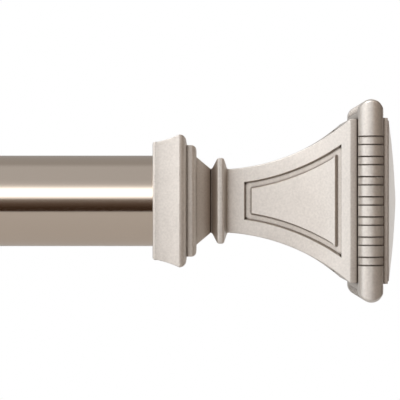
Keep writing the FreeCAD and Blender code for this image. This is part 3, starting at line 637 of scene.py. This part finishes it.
# %% Collar
BACK, BACK_ROUND, SIDE_HOLLOW = 18.2, 0.8, 30.0
RIM, RIM_ROUND, RIM_END = 20.4, 2.1, 10.4
STEP, STEP_ROUND, STEP_END = 17.2, 1.6, 13.5
NECK, SEAM, SEAM_HALF = 13.6, 17.9, 9.95
SOCKET, SOCKET_RADIUS, SOCKET_LEAD, STUD_HOLE = 12.0, 14.4, 0.4, 4.1
COLLAR_SOFT = 0.5


def collar_outline():
    """Half outline of the collar in millimetres, (along, half width), open at both ends."""
    outline = arc((BACK_ROUND, BACK - BACK_ROUND), BACK_ROUND, 180, 90, 3)
    outline += hollow_arc((1.5, BACK), (8.2, RIM), SIDE_HOLLOW, 6)
    outline += arc((RIM_END - RIM_ROUND, RIM - RIM_ROUND), RIM_ROUND, 90, 0, 7)
    outline += [(RIM_END, STEP)]
    outline += arc((STEP_END - STEP_ROUND, STEP - STEP_ROUND), STEP_ROUND, 90, 0, 6)
    outline += [(STEP_END, NECK), (SEAM, SEAM_HALF)]
    return outline


def open_end(bm, along):
    """The open edges that lie at this place along the finial."""
    return [edge for edge in bm.edges if edge.is_boundary
            and all(abs(vert.co.x / MM - along) < 0.01 for vert in edge.verts)]


def make_collar(side):
    """The collar as one square moulding with a round socket and a hole for the stud."""
    bm = turning(collar_outline(), 4, square=True)
    soften(bm, COLLAR_SOFT)
    rear, front = open_end(bm, 0.0), open_end(bm, SEAM)
    socket = hole(bm, ALONG, [(0, SOCKET_RADIUS + SOCKET_LEAD), (SOCKET_LEAD, SOCKET_RADIUS),
                              (SOCKET, SOCKET_RADIUS)], 96)
    stud = hole(bm, ALONG, [(SOCKET, STUD_HOLE), (SEAM, STUD_HOLE)])
    fill(bm, rear, socket[0])
    fill(bm, socket[1], stud[0])
    fill(bm, front, stud[1])
    bmesh.ops.recalc_face_normals(bm, faces=bm.faces)
    finished(on_the_rod(bm, side), side + "_finial_collar", side + "_collar")


for side in ("right", "left"):
    make_collar(side)

# %% [markdown]
# The head flares from a neck ring to its square brim, and each face carries a raised panel
# inside a sunk channel. A Boolean could cut the channel, but it leaves ragged faces on a curve.
# Here the flare is one arc, so its height at any place is a formula, and three insets of the
# same faces make the channel: down, along and up again.

# %% Head
ARC_RADIUS = 62.0
WAIST, BRIM = (23.4, 9.9), (60.3, 25.0)
ARC_CENTRE = hollow_centre(WAIST, BRIM, ARC_RADIUS)
PANEL = (28.3, 57.8)
PANEL_IN = 4.5
CHANNEL = 2.0
WALL = 0.40
DEEP = 0.9
EDGE_ROOM = 3.4
RING_FROM, RING_TO, RING_FOOT, RING_TOP, RING_ROUND = 18.4, 23.1, 10.1, 13.3, 0.9
RING_FLAT = (20.6, 21.3)
HEAD_END, BRIM_INSIDE = 62.7, 19.7
POCKET_STEP, POCKET_FLOOR, POCKET_HALF = 59.5, 36.0, 6.0
HEAD_SOFT = 0.45


def flare(along, inside=0.0):
    """Half width of the flared body at this place, or of a line this far inside its edge."""
    reach = ARC_RADIUS + inside
    return ARC_CENTRE.y - math.sqrt(reach ** 2 - (along - ARC_CENTRE.x) ** 2)


def head_outline():
    """Half outline of the head, from its seam round to the hollow inside."""
    along = spaced(WAIST[0], PANEL[0], 5) + spaced(PANEL[0] + EDGE_ROOM, PANEL[1] - EDGE_ROOM, 22)
    along += spaced(PANEL[1], BRIM[0], 3)
    outline = [(SEAM, 0.0), (SEAM, SEAM_HALF), (RING_FROM, RING_FOOT)]
    for middle, start, end in ((RING_FLAT[0], 150, 90), (RING_FLAT[1], 90, 30)):
        outline += arc((middle, RING_TOP - RING_ROUND), RING_ROUND, start, end, 3)
    outline += [(RING_TO, SEAM_HALF)]
    outline += [(place, flare(place)) for place in along]
    outline += [(HEAD_END, BRIM[1]), (HEAD_END, BRIM_INSIDE), (POCKET_STEP, BRIM_INSIDE)]
    outline += [(POCKET_FLOOR, POCKET_HALF), (POCKET_FLOOR, 0.0)]
    return outline


def lies_across(edge):
    """Whether an edge runs right across a flared face, between the ends of the panel."""
    first, second = (vert.co / MM for vert in edge.verts)
    if abs(first.x - second.x) > TINY or not PANEL[0] - TINY < first.x < PANEL[1] + TINY:
        return False
    outside = max(abs(first.y), abs(first.z)) > 0.98 * flare(min(first.x, PANEL[1]))
    return outside and edge.calc_length() > 8 * MM


def cut_panels(bm):
    """Sink a channel round a raised panel on each of the four flared faces."""
    across = [edge for edge in bm.edges if lies_across(edge)]
    made = bmesh.ops.subdivide_edges(bm, edges=across, cuts=4, use_grid_fill=True)
    fresh = {vert for vert in made["geom_inner"] if isinstance(vert, bmesh.types.BMVert)}
    for vert in fresh:
        along = vert.co.x / MM
        edge_line = flare(along, PANEL_IN) * MM
        strip_line = edge_line - EDGE_ROOM * MM
        flat = 1 if abs(vert.co.y) < abs(vert.co.z) else 2
        share = abs(vert.co[flat]) / (flare(along) * MM)
        vert.co[flat] = math.copysign(edge_line if share > 0.4 else strip_line, vert.co[flat])
    panels = [face for face in bm.faces if all(vert in fresh for vert in face.verts)]
    for thickness, depth in ((WALL, -DEEP), (CHANNEL - WALL, 0), (WALL, DEEP)):
        bmesh.ops.inset_region(bm, faces=panels, thickness=thickness * MM, depth=depth * MM,
                               use_even_offset=True, use_boundary=True)
    return len(panels)


def make_head(side):
    """The flared head with its neck ring and panels."""
    bm = turning(head_outline(), 4, square=True)
    soften(bm, HEAD_SOFT)
    count = cut_panels(bm)
    print(side, "panel faces", count)
    finished(on_the_rod(bm, side), side + "_finial_body", side + "_finial_head")


for side in ("right", "left"):
    make_head(side)

# %% [markdown]
# The bead frame is a thick half-round moulding bent into a square, with a run of shallow
# scoops pressed into the middle of each side. Each scoop could be a small piece laid on the
# frame, but the real ones are part of one casting. So planes cut the round into strips, and
# insets push the strips in: the wide ones a little for the scoops, the narrow ones for the
# grooves beside them.

# %% Bead frame
BEAD_FROM, BEAD_TO, BEAD_ROUND, BEAD_OUT, BEAD_SOFT = HEAD_END, 70.3, 3.8, 30.8, 0.8
SCOOPS, SCOOP_PITCH, SCOOP_WIDE, SCOOP_DEEP, SCOOP_WALL = 7, 6.1, 2.6, 0.2, 0.1
GROOVE_WIDE, GROOVE_DEEP, GROOVE_WALL = 0.32, 0.28, 0.08


def cut_across(bm, faces, axis, place):
    """Cut these faces with a plane square to an axis."""
    point, normal = Vector((0, 0, 0)), Vector((0, 0, 0))
    point[axis] = place * MM
    normal[axis] = 1
    geom = faces + list(dict.fromkeys(edge for face in faces for edge in face.edges))
    geom += list(dict.fromkeys(vert for face in faces for vert in face.verts))
    bmesh.ops.bisect_plane(bm, geom=geom, dist=1e-7, plane_co=point, plane_no=normal)


def scoop_side(bm, side_axis, sign):
    """Press grooves and shallow scoops into one side of the frame."""
    other = 3 - side_axis

    def on_side(middle=0.0, width=2 * (BEAD_OUT - BEAD_ROUND)):
        """Faces of this side's half-round, in a strip of this width."""
        found = []
        for face in bm.faces:
            centre = face.calc_center_median() / MM
            outside = centre[side_axis] * sign > BEAD_OUT - BEAD_ROUND
            faces_out = face.normal[side_axis] * sign > 0.02
            if outside and faces_out and abs(centre[other] - middle) < width / 2:
                found.append(face)
        return found

    middles = [(number - (SCOOPS - 1) / 2) * SCOOP_PITCH for number in range(SCOOPS)]
    grooves = [middle + half for middle in middles for half in (-SCOOP_WIDE / 2, SCOOP_WIDE / 2)]
    for groove in grooves:
        for edge in (-GROOVE_WIDE / 2, GROOVE_WIDE / 2):
            cut_across(bm, on_side(), other, groove + edge)
    for middle in middles:
        strip = on_side(middle, SCOOP_WIDE - GROOVE_WIDE)
        bmesh.ops.inset_region(bm, faces=strip, thickness=SCOOP_WALL * MM, depth=-SCOOP_DEEP * MM,
                               use_even_offset=True, use_boundary=True)
    for groove in grooves:
        strip = on_side(groove, GROOVE_WIDE)
        bmesh.ops.inset_region(bm, faces=strip, thickness=GROOVE_WALL * MM, depth=-GROOVE_DEEP * MM,
                               use_even_offset=True, use_boundary=True)


def make_bead(side):
    """The square frame with scoops on all four sides."""
    outline = [(BEAD_TO, BRIM_INSIDE), (BEAD_FROM, BRIM_INSIDE)]
    outline += arc(((BEAD_FROM + BEAD_TO) / 2, BEAD_OUT - BEAD_ROUND), BEAD_ROUND, 180, 0, 18)
    bm = turning(outline, 4, square=True, closed=True)
    soften(bm, BEAD_SOFT, sharper_than=40, segments=4)
    for side_axis in (1, 2):
        for sign in (1, -1):
            scoop_side(bm, side_axis, sign)
    finished(on_the_rod(bm, side), side + "_finial_bead", side + "_bead_frame")


for side in ("right", "left"):
    make_bead(side)

# %% [markdown]
# The end cap is a shallow pyramid on a small step, with a skirt behind it that plugs the frame.
# A cone with four sides would be close, but its faces would be dead flat. The real ones swell
# slightly, so the outline adds a small sine to the slope.

# %% End cap
CAP_STEP, CAP_FACE, CAP_POINT, CAP_SWELL, SWELL_STEPS = 71.8, 72.2, 76.2, 0.3, 14
CAP_HALF, FACE_HALF, CAP_SOFT = 25.3, 24.2, 0.4
SKIRT_END, SKIRT, SKIRT_INSIDE = 62.3, 19.6, 16.6


def cap_outline():
    """Half outline of the cap and the skirt that plugs the frame."""
    outline = [(BEAD_TO, 0.0), (BEAD_TO, SKIRT_INSIDE), (SKIRT_END, SKIRT_INSIDE)]
    outline += [(SKIRT_END, SKIRT), (BEAD_TO, SKIRT), (BEAD_TO, CAP_HALF), (CAP_STEP, CAP_HALF)]
    outline += arc((CAP_STEP, FACE_HALF), CAP_FACE - CAP_STEP, 90, 30, 3)
    for share in spaced(1 / SWELL_STEPS, 1, SWELL_STEPS - 1):
        swell = CAP_SWELL * math.sin(math.pi * share)
        outline.append((CAP_FACE + (CAP_POINT - CAP_FACE) * share + swell, FACE_HALF * (1 - share)))
    return outline


def make_cap(side):
    """The pointed end cap."""
    bm = turning(cap_outline(), 4, square=True)
    soften(bm, CAP_SOFT)
    finished(on_the_rod(bm, side), side + "_finial_cap", side + "_end_cap")


for side in ("right", "left"):
    make_cap(side)

# %% [markdown]
# The tubes are thin and round. A cylinder with a Solidify modifier would do, but one closed
# outline gives the wall and the chamfered mouths at once. They are turned in many steps, so
# that the long streaks of light stay smooth.

# %% Tubes
TUBE_WALL, TUBE_LEAD = 0.8, 0.25


def make_tube(name, node, radius):
    """A tube between the ends of the frame's node."""
    low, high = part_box(node)
    start, end, outer = low.x / MM, high.x / MM, radius / MM
    outline = [(start, outer - TUBE_WALL), (start, outer - TUBE_LEAD), (start + TUBE_LEAD, outer)]
    outline += [(end - TUBE_LEAD, outer), (end, outer - TUBE_LEAD), (end, outer - TUBE_WALL)]
    bm = turning(outline, 160, closed=True)
    bmesh.ops.translate(bm, verts=bm.verts, vec=(0, rod_y, rod_z))
    finished(bm, name, node)


make_tube("rod_tube", "outer_tube", tube_radius)
make_tube("rod_slim_tube", "inner_tube", slim_radius)

# %% [markdown]
# A nylon bush guides the thinner tube where it comes out of the thicker one. A torus could
# stand for its lip, the only part in sight, but the bush reaches into the tube, so its whole
# section is turned.

# %% Mouth bush
BUSH_SLACK, LIP_LEAD, LIP_ROUND = 0.05, 0.3, 0.6


def make_mouth_bush():
    """Bush with a rounded lip in front of the outer tube's mouth."""
    low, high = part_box("mouth_bush")
    lip, end, mouth = low.x / MM, high.x / MM, tube_low.x / MM
    bore, outside = slim_radius / MM + BUSH_SLACK, tube_radius / MM
    inside = outside - TUBE_WALL
    outline = [(lip + LIP_LEAD, bore), (lip, bore + LIP_LEAD)]
    outline += arc((lip + LIP_ROUND, outside - LIP_ROUND), LIP_ROUND, 180, 90, 5)
    outline += [(mouth, outside), (mouth, inside), (end, inside), (end, bore)]
    bm = turning(outline, 96, closed=True)
    bmesh.ops.translate(bm, verts=bm.verts, vec=(0, rod_y, rod_z))
    finished(bm, "rod_mouth_bush", "mouth_bush")


make_mouth_bush()

# %% [markdown]
# The brackets are made from flat and square bar, so their pieces start as plain blocks. A face
# could be drawn and extruded, but a cube, scaled and moved, takes less. Each piece is made
# about the middle of its own bracket and then moved along the rod.

# %% Blocks
def block(low, high):
    """A box between two corners in millimetres."""
    bm = bmesh.new()
    bmesh.ops.create_cube(bm, size=1.0)
    bmesh.ops.scale(bm, verts=bm.verts, vec=[(end - start) * MM for start, end in zip(low, high)])
    middle = [(start + end) / 2 * MM for start, end in zip(low, high)]
    bmesh.ops.translate(bm, verts=bm.verts, vec=middle)
    return bm


def on_the_bracket(bm, side):
    """Move a piece from the middle of its bracket to its place along the rod."""
    bmesh.ops.recalc_face_normals(bm, faces=bm.faces)
    bmesh.ops.translate(bm, verts=bm.verts, vec=(bracket_at[side], 0, 0))
    return bm


sample = block((0, 0, 0), (10, 20, 30))
print("a block of 10 x 20 x 30 has", round(sample.calc_volume() / MM ** 3), "cubic millimetres")
sample.free()

# %% [markdown]
# The wall plate is a small stepped plate that the wall screws hold. Two plates, one on the
# other, would look the same, but it is one casting: a block, an inset for the ledge, an
# extrusion and a bevel. Two countersunk holes take the wall screws, a square seat takes the
# sleeve, and two more holes from behind take the sleeve's own screws.

# %% Wall plates
LEDGE, LEDGE_IN, PLATE_ROUND = 3.5, 3.0, 1.2
WALL_HOLE_UP, WALL_HOLE, WALL_SINK, WALL_SINK_DEEP = 30.0, 2.25, 4.5, 2.6
PIN_UP, PIN_HOLE, PIN_SINK, PIN_SINK_DEEP = 5.5, 1.5, 2.9, 1.5
SEAT_HALF, SEAT_FLOOR = 9.05, 4.0
AT_BACK = 0.5


def make_wall_plate(side):
    """Stepped plate, flat against the wall."""
    low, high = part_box(side + "_wall_plate")
    half_wide, half_tall, thick = (high.x - low.x) / 2 / MM, high.z / MM, -low.y / MM
    bm = block((-half_wide, -LEDGE, -half_tall), (half_wide, 0, half_tall))
    ledge = flat_face(bm, 1, -LEDGE)
    bmesh.ops.inset_region(bm, faces=[ledge], thickness=LEDGE_IN * MM, use_even_offset=True,
                           use_boundary=True)
    raised = bmesh.ops.extrude_face_region(bm, geom=[ledge])["geom"]
    verts = [item for item in raised if isinstance(item, bmesh.types.BMVert)]
    bmesh.ops.translate(bm, verts=verts, vec=(0, (LEDGE - thick) * MM, 0))
    bmesh.ops.delete(bm, geom=[ledge], context="FACES_ONLY")
    soften(bm, PLATE_ROUND, segments=5,
           pick=lambda edge: min(vert.co.y for vert in edge.verts) < -AT_BACK * MM)
    seat = hole(bm, OUT @ SQUARED, [(thick, SEAT_HALF * CORNER), (SEAT_FLOOR, SEAT_HALF * CORNER)], 4)
    wall_holes, pin_holes = [], []
    for up in (1, -1):
        wall_holes.append(hole(bm, OUT @ Matrix.Translation((0, up * WALL_HOLE_UP * MM, 0)), [
            (thick, WALL_SINK), (thick - WALL_SINK_DEEP, WALL_HOLE), (0, WALL_HOLE)]))
        pin_holes.append(hole(bm, OUT @ Matrix.Translation((0, up * PIN_UP * MM, 0)), [
            (0, PIN_SINK), (PIN_SINK_DEEP, PIN_HOLE), (SEAT_FLOOR, PIN_HOLE)]))
    refill(bm, flat_face(bm, 1, -thick), seat[0], *[first for first, last in wall_holes])
    wall_face_rims = [last for first, last in wall_holes] + [first for first, last in pin_holes]
    refill(bm, flat_face(bm, 1, 0), *wall_face_rims)
    fill(bm, seat[1], *[last for first, last in pin_holes])
    finished(on_the_bracket(bm, side), side + "_bracket_plate", side + "_wall_plate")


for side in ("right", "left"):
    make_wall_plate(side)

# %% [markdown]
# The sleeve is square tube with a boss below it for the lock screw, and the bar slides in it.
# The boss could be a cylinder joined on, but then its foot would meet the sleeve in a hard
# line. It is one hole wall turned inside out instead: it runs down the outside from a small
# fillet, round the end and up the thread.

# %% Sleeves and bars
BORE_HALF, BORE_FLOOR, BORE_LEAD = 6.1, 9.0, 0.4
SLEEVE_ROUND, BAR_ROUND = 1.0, 0.5
BOSS, THREAD_HOLE, BOSS_FILLET, BOSS_ROUND, THREAD_LEAD = 5.5, 2.55, 1.0, 0.6, 0.35


def boss_stages(root, end, inner, fillet):
    """Rims of a boss from its root, over its end and down its thread."""
    stages = arc((root + fillet, BOSS + fillet), fillet, 180, 270, 5)
    stages += arc((end - BOSS_ROUND, BOSS - BOSS_ROUND), BOSS_ROUND, 90, 0, 4)
    stages += [(end, THREAD_HOLE + THREAD_LEAD), (end - THREAD_LEAD, THREAD_HOLE), (inner, THREAD_HOLE)]
    return stages


def make_sleeve(side):
    """Square sleeve with a closed back and a threaded boss."""
    low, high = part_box(side + "_arm_sleeve")
    half, front, boss_end = high.z / MM, -low.y / MM, -low.z / MM
    lock_low, lock_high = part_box(side + "_arm_lock_pad")
    bm = block((-half, -front, -half), (half, high.y / MM, half))
    soften(bm, SLEEVE_ROUND,
           pick=lambda edge: min(vert.co.y for vert in edge.verts) < high.y - AT_BACK * MM)
    bore = hole(bm, OUT @ SQUARED, [
        (front, (BORE_HALF + BORE_LEAD) * CORNER), (front - BORE_LEAD, BORE_HALF * CORNER),
        (BORE_FLOOR, BORE_HALF * CORNER)], 4)
    refill(bm, flat_face(bm, 1, -front), bore[0])
    fill(bm, bore[1])
    at_lock = Matrix.Translation((0, (lock_low.y + lock_high.y) / 2, 0)) @ DOWN
    boss = hole(bm, at_lock, boss_stages(half, boss_end, BORE_HALF, BOSS_FILLET))
    refill(bm, flat_face(bm, 2, -half), boss[0])
    refill(bm, flat_face(bm, 2, -BORE_HALF), boss[1])
    finished(on_the_bracket(bm, side), side + "_bracket_sleeve", side + "_arm_sleeve")


def make_bar(side):
    """Square bar with a hole for the cradle's screw."""
    low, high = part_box(side + "_arm_bar")
    half = high.z / MM
    bm = block((-half, low.y / MM, -half), (half, high.y / MM, half))
    soften(bm, BAR_ROUND)
    screw = hole(bm, Matrix.Translation((0, rod_y, 0)), [(half, THREAD_HOLE), (-half, THREAD_HOLE)])
    refill(bm, flat_face(bm, 2, half), screw[0])
    refill(bm, flat_face(bm, 2, -half), screw[1])
    finished(on_the_bracket(bm, side), side + "_bracket_bar", side + "_arm_bar")


for side in ("right", "left"):
    make_sleeve(side)
    make_bar(side)

# %% [markdown]
# The cradle is an open cup that the tube is laid in. A strap could be bent along a curve, but
# its foot and its landing for the boss would be hard to reach. So its side view is drawn and
# pulled to its width. The foot is pulled out of the curved underside and pressed flat, so that
# it sits square on the bar.

# %% Cradles
CUP_ROUND, STRAP_ROUND, LANDING, INNER_LANDING, FOOT_HALF = 1.0, 0.7, 6.2, 2.8, 8.0
CUP_GAP, CRADLE_FILLET = 0.3, 0.5


def cradle_outline(outer, cup, rise):
    """Side view of the strap in millimetres about the rod's axis, (y, z)."""
    tangent = 180 + 2 * math.degrees(math.atan2(LANDING, outer))
    foot = math.degrees(math.asin(FOOT_HALF / outer))
    shoulder = rise - CUP_ROUND
    outline = [(-outer, -LANDING)] + arc((0, 0), outer, tangent, 270 - foot, 6)[:-1]
    outline += arc((0, 0), outer, 270 - foot, 270 + foot, 14)[:-1] + arc((0, 0), outer, 270 + foot, 360, 16)
    outline += arc((outer - CUP_ROUND, shoulder), CUP_ROUND, 0, 90, 5)
    outline += arc((cup + CUP_ROUND, shoulder), CUP_ROUND, 90, 180, 5)
    outline += arc((0, 0), cup, 360, 180 + math.degrees(math.asin(INNER_LANDING / cup)), 40)
    outline += [(-cup, -INNER_LANDING)]
    outline += arc((-cup - CUP_ROUND, shoulder), CUP_ROUND, 0, 90, 5)
    outline += arc((CUP_ROUND - outer, shoulder), CUP_ROUND, 90, 180, 5)
    return outline


def pull_foot(bm, half_wide, sole):
    """Pull the foot out of the strap's underside and press it flat."""
    for edge_x in (-half_wide, half_wide):
        cut_across(bm, [face for face in bm.faces if face.calc_center_median().z < 0], 0, edge_x)
    under = [face for face in bm.faces
             if abs(face.calc_center_median().x) < half_wide * MM
             and abs(face.calc_center_median().y) < FOOT_HALF * MM
             and face.normal.z < -0.7]
    pulled = bmesh.ops.extrude_face_region(bm, geom=under)["geom"]
    for item in pulled:
        if isinstance(item, bmesh.types.BMVert):
            item.co.z = sole * MM
    bmesh.ops.delete(bm, geom=under, context="FACES")
    bmesh.ops.remove_doubles(bm, verts=bm.verts, dist=0.001 * MM)


def make_cradle(side, carried_radius):
    """Open cup for the tube, with a foot below and a threaded boss in front."""
    low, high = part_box(side + "_cradle")
    bar_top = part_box(side + "_arm_bar")[1].z
    outer, cup = (rod_z - low.z) / MM, carried_radius / MM + CUP_GAP
    half_wide, rise, boss_end = (high.x - low.x) / 2 / MM, (high.z - rod_z) / MM, (rod_y - low.y) / MM
    bm = bmesh.new()
    outline = cradle_outline(outer, cup, rise)
    verts = [bm.verts.new((-half_wide * MM, y * MM, z * MM)) for y, z in outline]
    side_view = bm.faces.new(verts)
    strap = bmesh.ops.extrude_face_region(bm, geom=[side_view], use_keep_orig=True)["geom"]
    far = [item for item in strap if isinstance(item, bmesh.types.BMVert)]
    bmesh.ops.translate(bm, verts=far, vec=(2 * half_wide * MM, 0, 0))
    bmesh.ops.recalc_face_normals(bm, faces=bm.faces)
    soften(bm, STRAP_ROUND, 60, pick=lambda edge: abs(edge.verts[0].co.x - edge.verts[1].co.x) < 1e-7)
    boss = hole(bm, OUT, boss_stages(outer, boss_end, cup, CRADLE_FILLET))
    refill(bm, flat_face(bm, 1, -outer), boss[0])
    refill(bm, flat_face(bm, 1, -cup), boss[1])
    pull_foot(bm, bar_top / MM, -outer)
    bmesh.ops.translate(bm, verts=bm.verts, vec=(0, rod_y, rod_z))
    finished(on_the_bracket(bm, side), side + "_bracket_cradle", side + "_cradle")


for side, carried in (("right", tube_radius), ("left", slim_radius)):
    make_cradle(side, carried)

# %% [markdown]
# A lock screw is one turning, with flutes in its knob for the fingers and a thread on its
# shank. Booleans could cut them, but that is a slow way to make small repeated dents. Both are
# made by moving the turned points inwards: by the depth of a round cutter for a flute, and by a
# wave that climbs one pitch in a turn for the thread.

# %% Lock screws
TIP, SHANK, KNOB_LONG, KNOB, KNOB_ROUND = 2.0, 11.5, 7.0, 7.0, 1.0
DISH, DISH_EDGE, DISH_DEEP = 3.6, 4.4, 0.5
FLUTES, FLUTE = 16, 0.8
THREAD, PITCH, THREAD_DEEP, THREAD_CHAMFER, ROWS_PER_TURN = 2.5, 0.8, 0.3, 0.5, 5


def lock_screw_outline():
    """Half outline of the screw; 0 is the far face of the pad that it pushes."""
    neck, back = -TIP - SHANK, -TIP - SHANK - KNOB_LONG
    outline = [(back + DISH_DEEP, 0.0), (back + DISH_DEEP, DISH), (back, DISH_EDGE)]
    outline += arc((back + KNOB_ROUND, KNOB - KNOB_ROUND), KNOB_ROUND, 180, 90, 6)
    outline += arc((neck - KNOB_ROUND, KNOB - KNOB_ROUND), KNOB_ROUND, 90, 0, 6)
    thread_end = -TIP - THREAD_CHAMFER
    rows = round((SHANK - 1.0) / (PITCH / ROWS_PER_TURN))
    outline += [(place, THREAD) for place in spaced(neck, thread_end, rows)]
    outline += [(-TIP, THREAD - THREAD_CHAMFER), (-TIP, 0.0)]
    return outline


def cut_flutes_and_thread(bm):
    """Press the flutes into the knob and the thread into the shank."""
    pitch_angle = math.tau / FLUTES
    for vert in bm.verts:
        along, across, up = vert.co / MM
        radius, angle = math.hypot(across, up), math.atan2(up, across)
        target = radius
        if radius > KNOB - FLUTE:
            off = KNOB * abs((angle + pitch_angle / 2) % pitch_angle - pitch_angle / 2)
            if off < FLUTE:
                target = min(radius, KNOB - math.sqrt(FLUTE ** 2 - off ** 2))
        elif abs(radius - THREAD) < 0.01 and along > -TIP - SHANK + 0.1:
            wave = math.cos(math.tau * along / PITCH - angle)
            target = THREAD - THREAD_DEEP * (0.5 - 0.5 * wave)
        if target != radius:
            vert.co.y *= target / radius
            vert.co.z *= target / radius


def make_lock_screw(side, which, turn, place):
    """A knurled lock screw, turned towards what it presses."""
    bm = turning(lock_screw_outline(), 128)
    cut_flutes_and_thread(bm)
    bmesh.ops.rotate(bm, verts=bm.verts, cent=(0, 0, 0), matrix=turn)
    bmesh.ops.translate(bm, verts=bm.verts, vec=place)
    finished(bm, side + "_" + which + "_knob", side + "_" + which + "_lock_screw")


POINTING_UP = Matrix.Rotation(math.radians(-90), 3, "Y")
POINTING_BACK = Matrix.Rotation(math.radians(90), 3, "Z")
POINTING_FORWARD = Matrix.Rotation(math.radians(-90), 3, "Z")
for side in ("right", "left"):
    pad_low, pad_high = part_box(side + "_arm_lock_pad")
    arm_pad_top = (bracket_at[side], (pad_low.y + pad_high.y) / 2, pad_high.z)
    make_lock_screw(side, "arm", POINTING_UP, arm_pad_top)
    rod_pad_back = (bracket_at[side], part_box(side + "_rod_lock_pad")[1].y, rod_z)
    make_lock_screw(side, "rod", POINTING_BACK, rod_pad_back)

# %% [markdown]
# The small screws have a socket for a six-sided key. A six-sided dent can't be turned, so the
# head's end is left open in the turning, and the space between its edge and a hole wall with
# six segments is filled. Their threads are hidden in the pieces that they hold, so the shanks
# stay plain.

# %% Cradle screws and sleeve screws
HEAD, HEAD_ROUND, HEAD_FACE, HEAD_LEAD = 4.5, 1.4, 2.6, 0.2
SCREW_SHANK, SCREW_LEAD = 2.5, 0.5
KEY, KEY_DEEP = 1.75, 1.4
PIN_HEAD, PIN_FACE, PIN_KEY, PIN_KEY_DEEP = 2.6, 2.3, 1.2, 1.0


def socket_screw(outline, key, deep):
    """A turned screw whose outline starts at the edge of its end face, with a key socket there."""
    bm = turning(outline, 36)
    edge_of_end = [edge for edge in bm.edges if edge.is_boundary]
    face = outline[0][0]
    rims = hole(bm, ALONG, [(face, key), (face + deep, key)], 6)
    fill(bm, edge_of_end, rims[0])
    fill(bm, rims[1])
    return bm


def make_cradle_screw(side):
    """Low round-headed screw under the bar."""
    low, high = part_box(side + "_cradle_screw")
    under_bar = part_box(side + "_arm_bar")[0].z
    head, shank = (under_bar - low.z) / MM, (high.z - under_bar) / MM
    outline = [(-head, HEAD_FACE)] + arc((HEAD_ROUND - head, HEAD - HEAD_ROUND), HEAD_ROUND, 180, 90, 6)
    outline += [(-HEAD_LEAD, HEAD), (0.0, HEAD - HEAD_LEAD), (0.0, SCREW_SHANK)]
    outline += [(shank - SCREW_LEAD, SCREW_SHANK), (shank, SCREW_SHANK - SCREW_LEAD), (shank, 0.0)]
    bm = socket_screw(outline, KEY, KEY_DEEP)
    bmesh.ops.rotate(bm, verts=bm.verts, cent=(0, 0, 0), matrix=POINTING_UP)
    bmesh.ops.translate(bm, verts=bm.verts, vec=(0, rod_y, under_bar))
    finished(on_the_bracket(bm, side), side + "_bracket_screw", side + "_cradle_screw")


def make_sleeve_screws(side):
    """Two countersunk screws from behind the plate."""
    low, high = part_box(side + "_sleeve_screws")
    start, end = -high.y / MM, -low.y / MM
    outline = [(start, PIN_FACE), (start, PIN_HEAD), (PIN_SINK_DEEP, PIN_HOLE), (end, PIN_HOLE), (end, 0.0)]
    bm = socket_screw(outline, PIN_KEY, PIN_KEY_DEEP)
    bmesh.ops.rotate(bm, verts=bm.verts, cent=(0, 0, 0), matrix=POINTING_FORWARD)
    bmesh.ops.translate(bm, verts=bm.verts, vec=(0, 0, PIN_UP * MM))
    twin = bmesh.ops.duplicate(bm, geom=bm.verts[:] + bm.edges[:] + bm.faces[:])["geom"]
    verts = [item for item in twin if isinstance(item, bmesh.types.BMVert)]
    bmesh.ops.translate(bm, verts=verts, vec=(0, 0, -2 * PIN_UP * MM))
    finished(on_the_bracket(bm, side), side + "_plate_screws", side + "_sleeve_screws")


for side in ("right", "left"):
    make_cradle_screw(side)
    make_sleeve_screws(side)
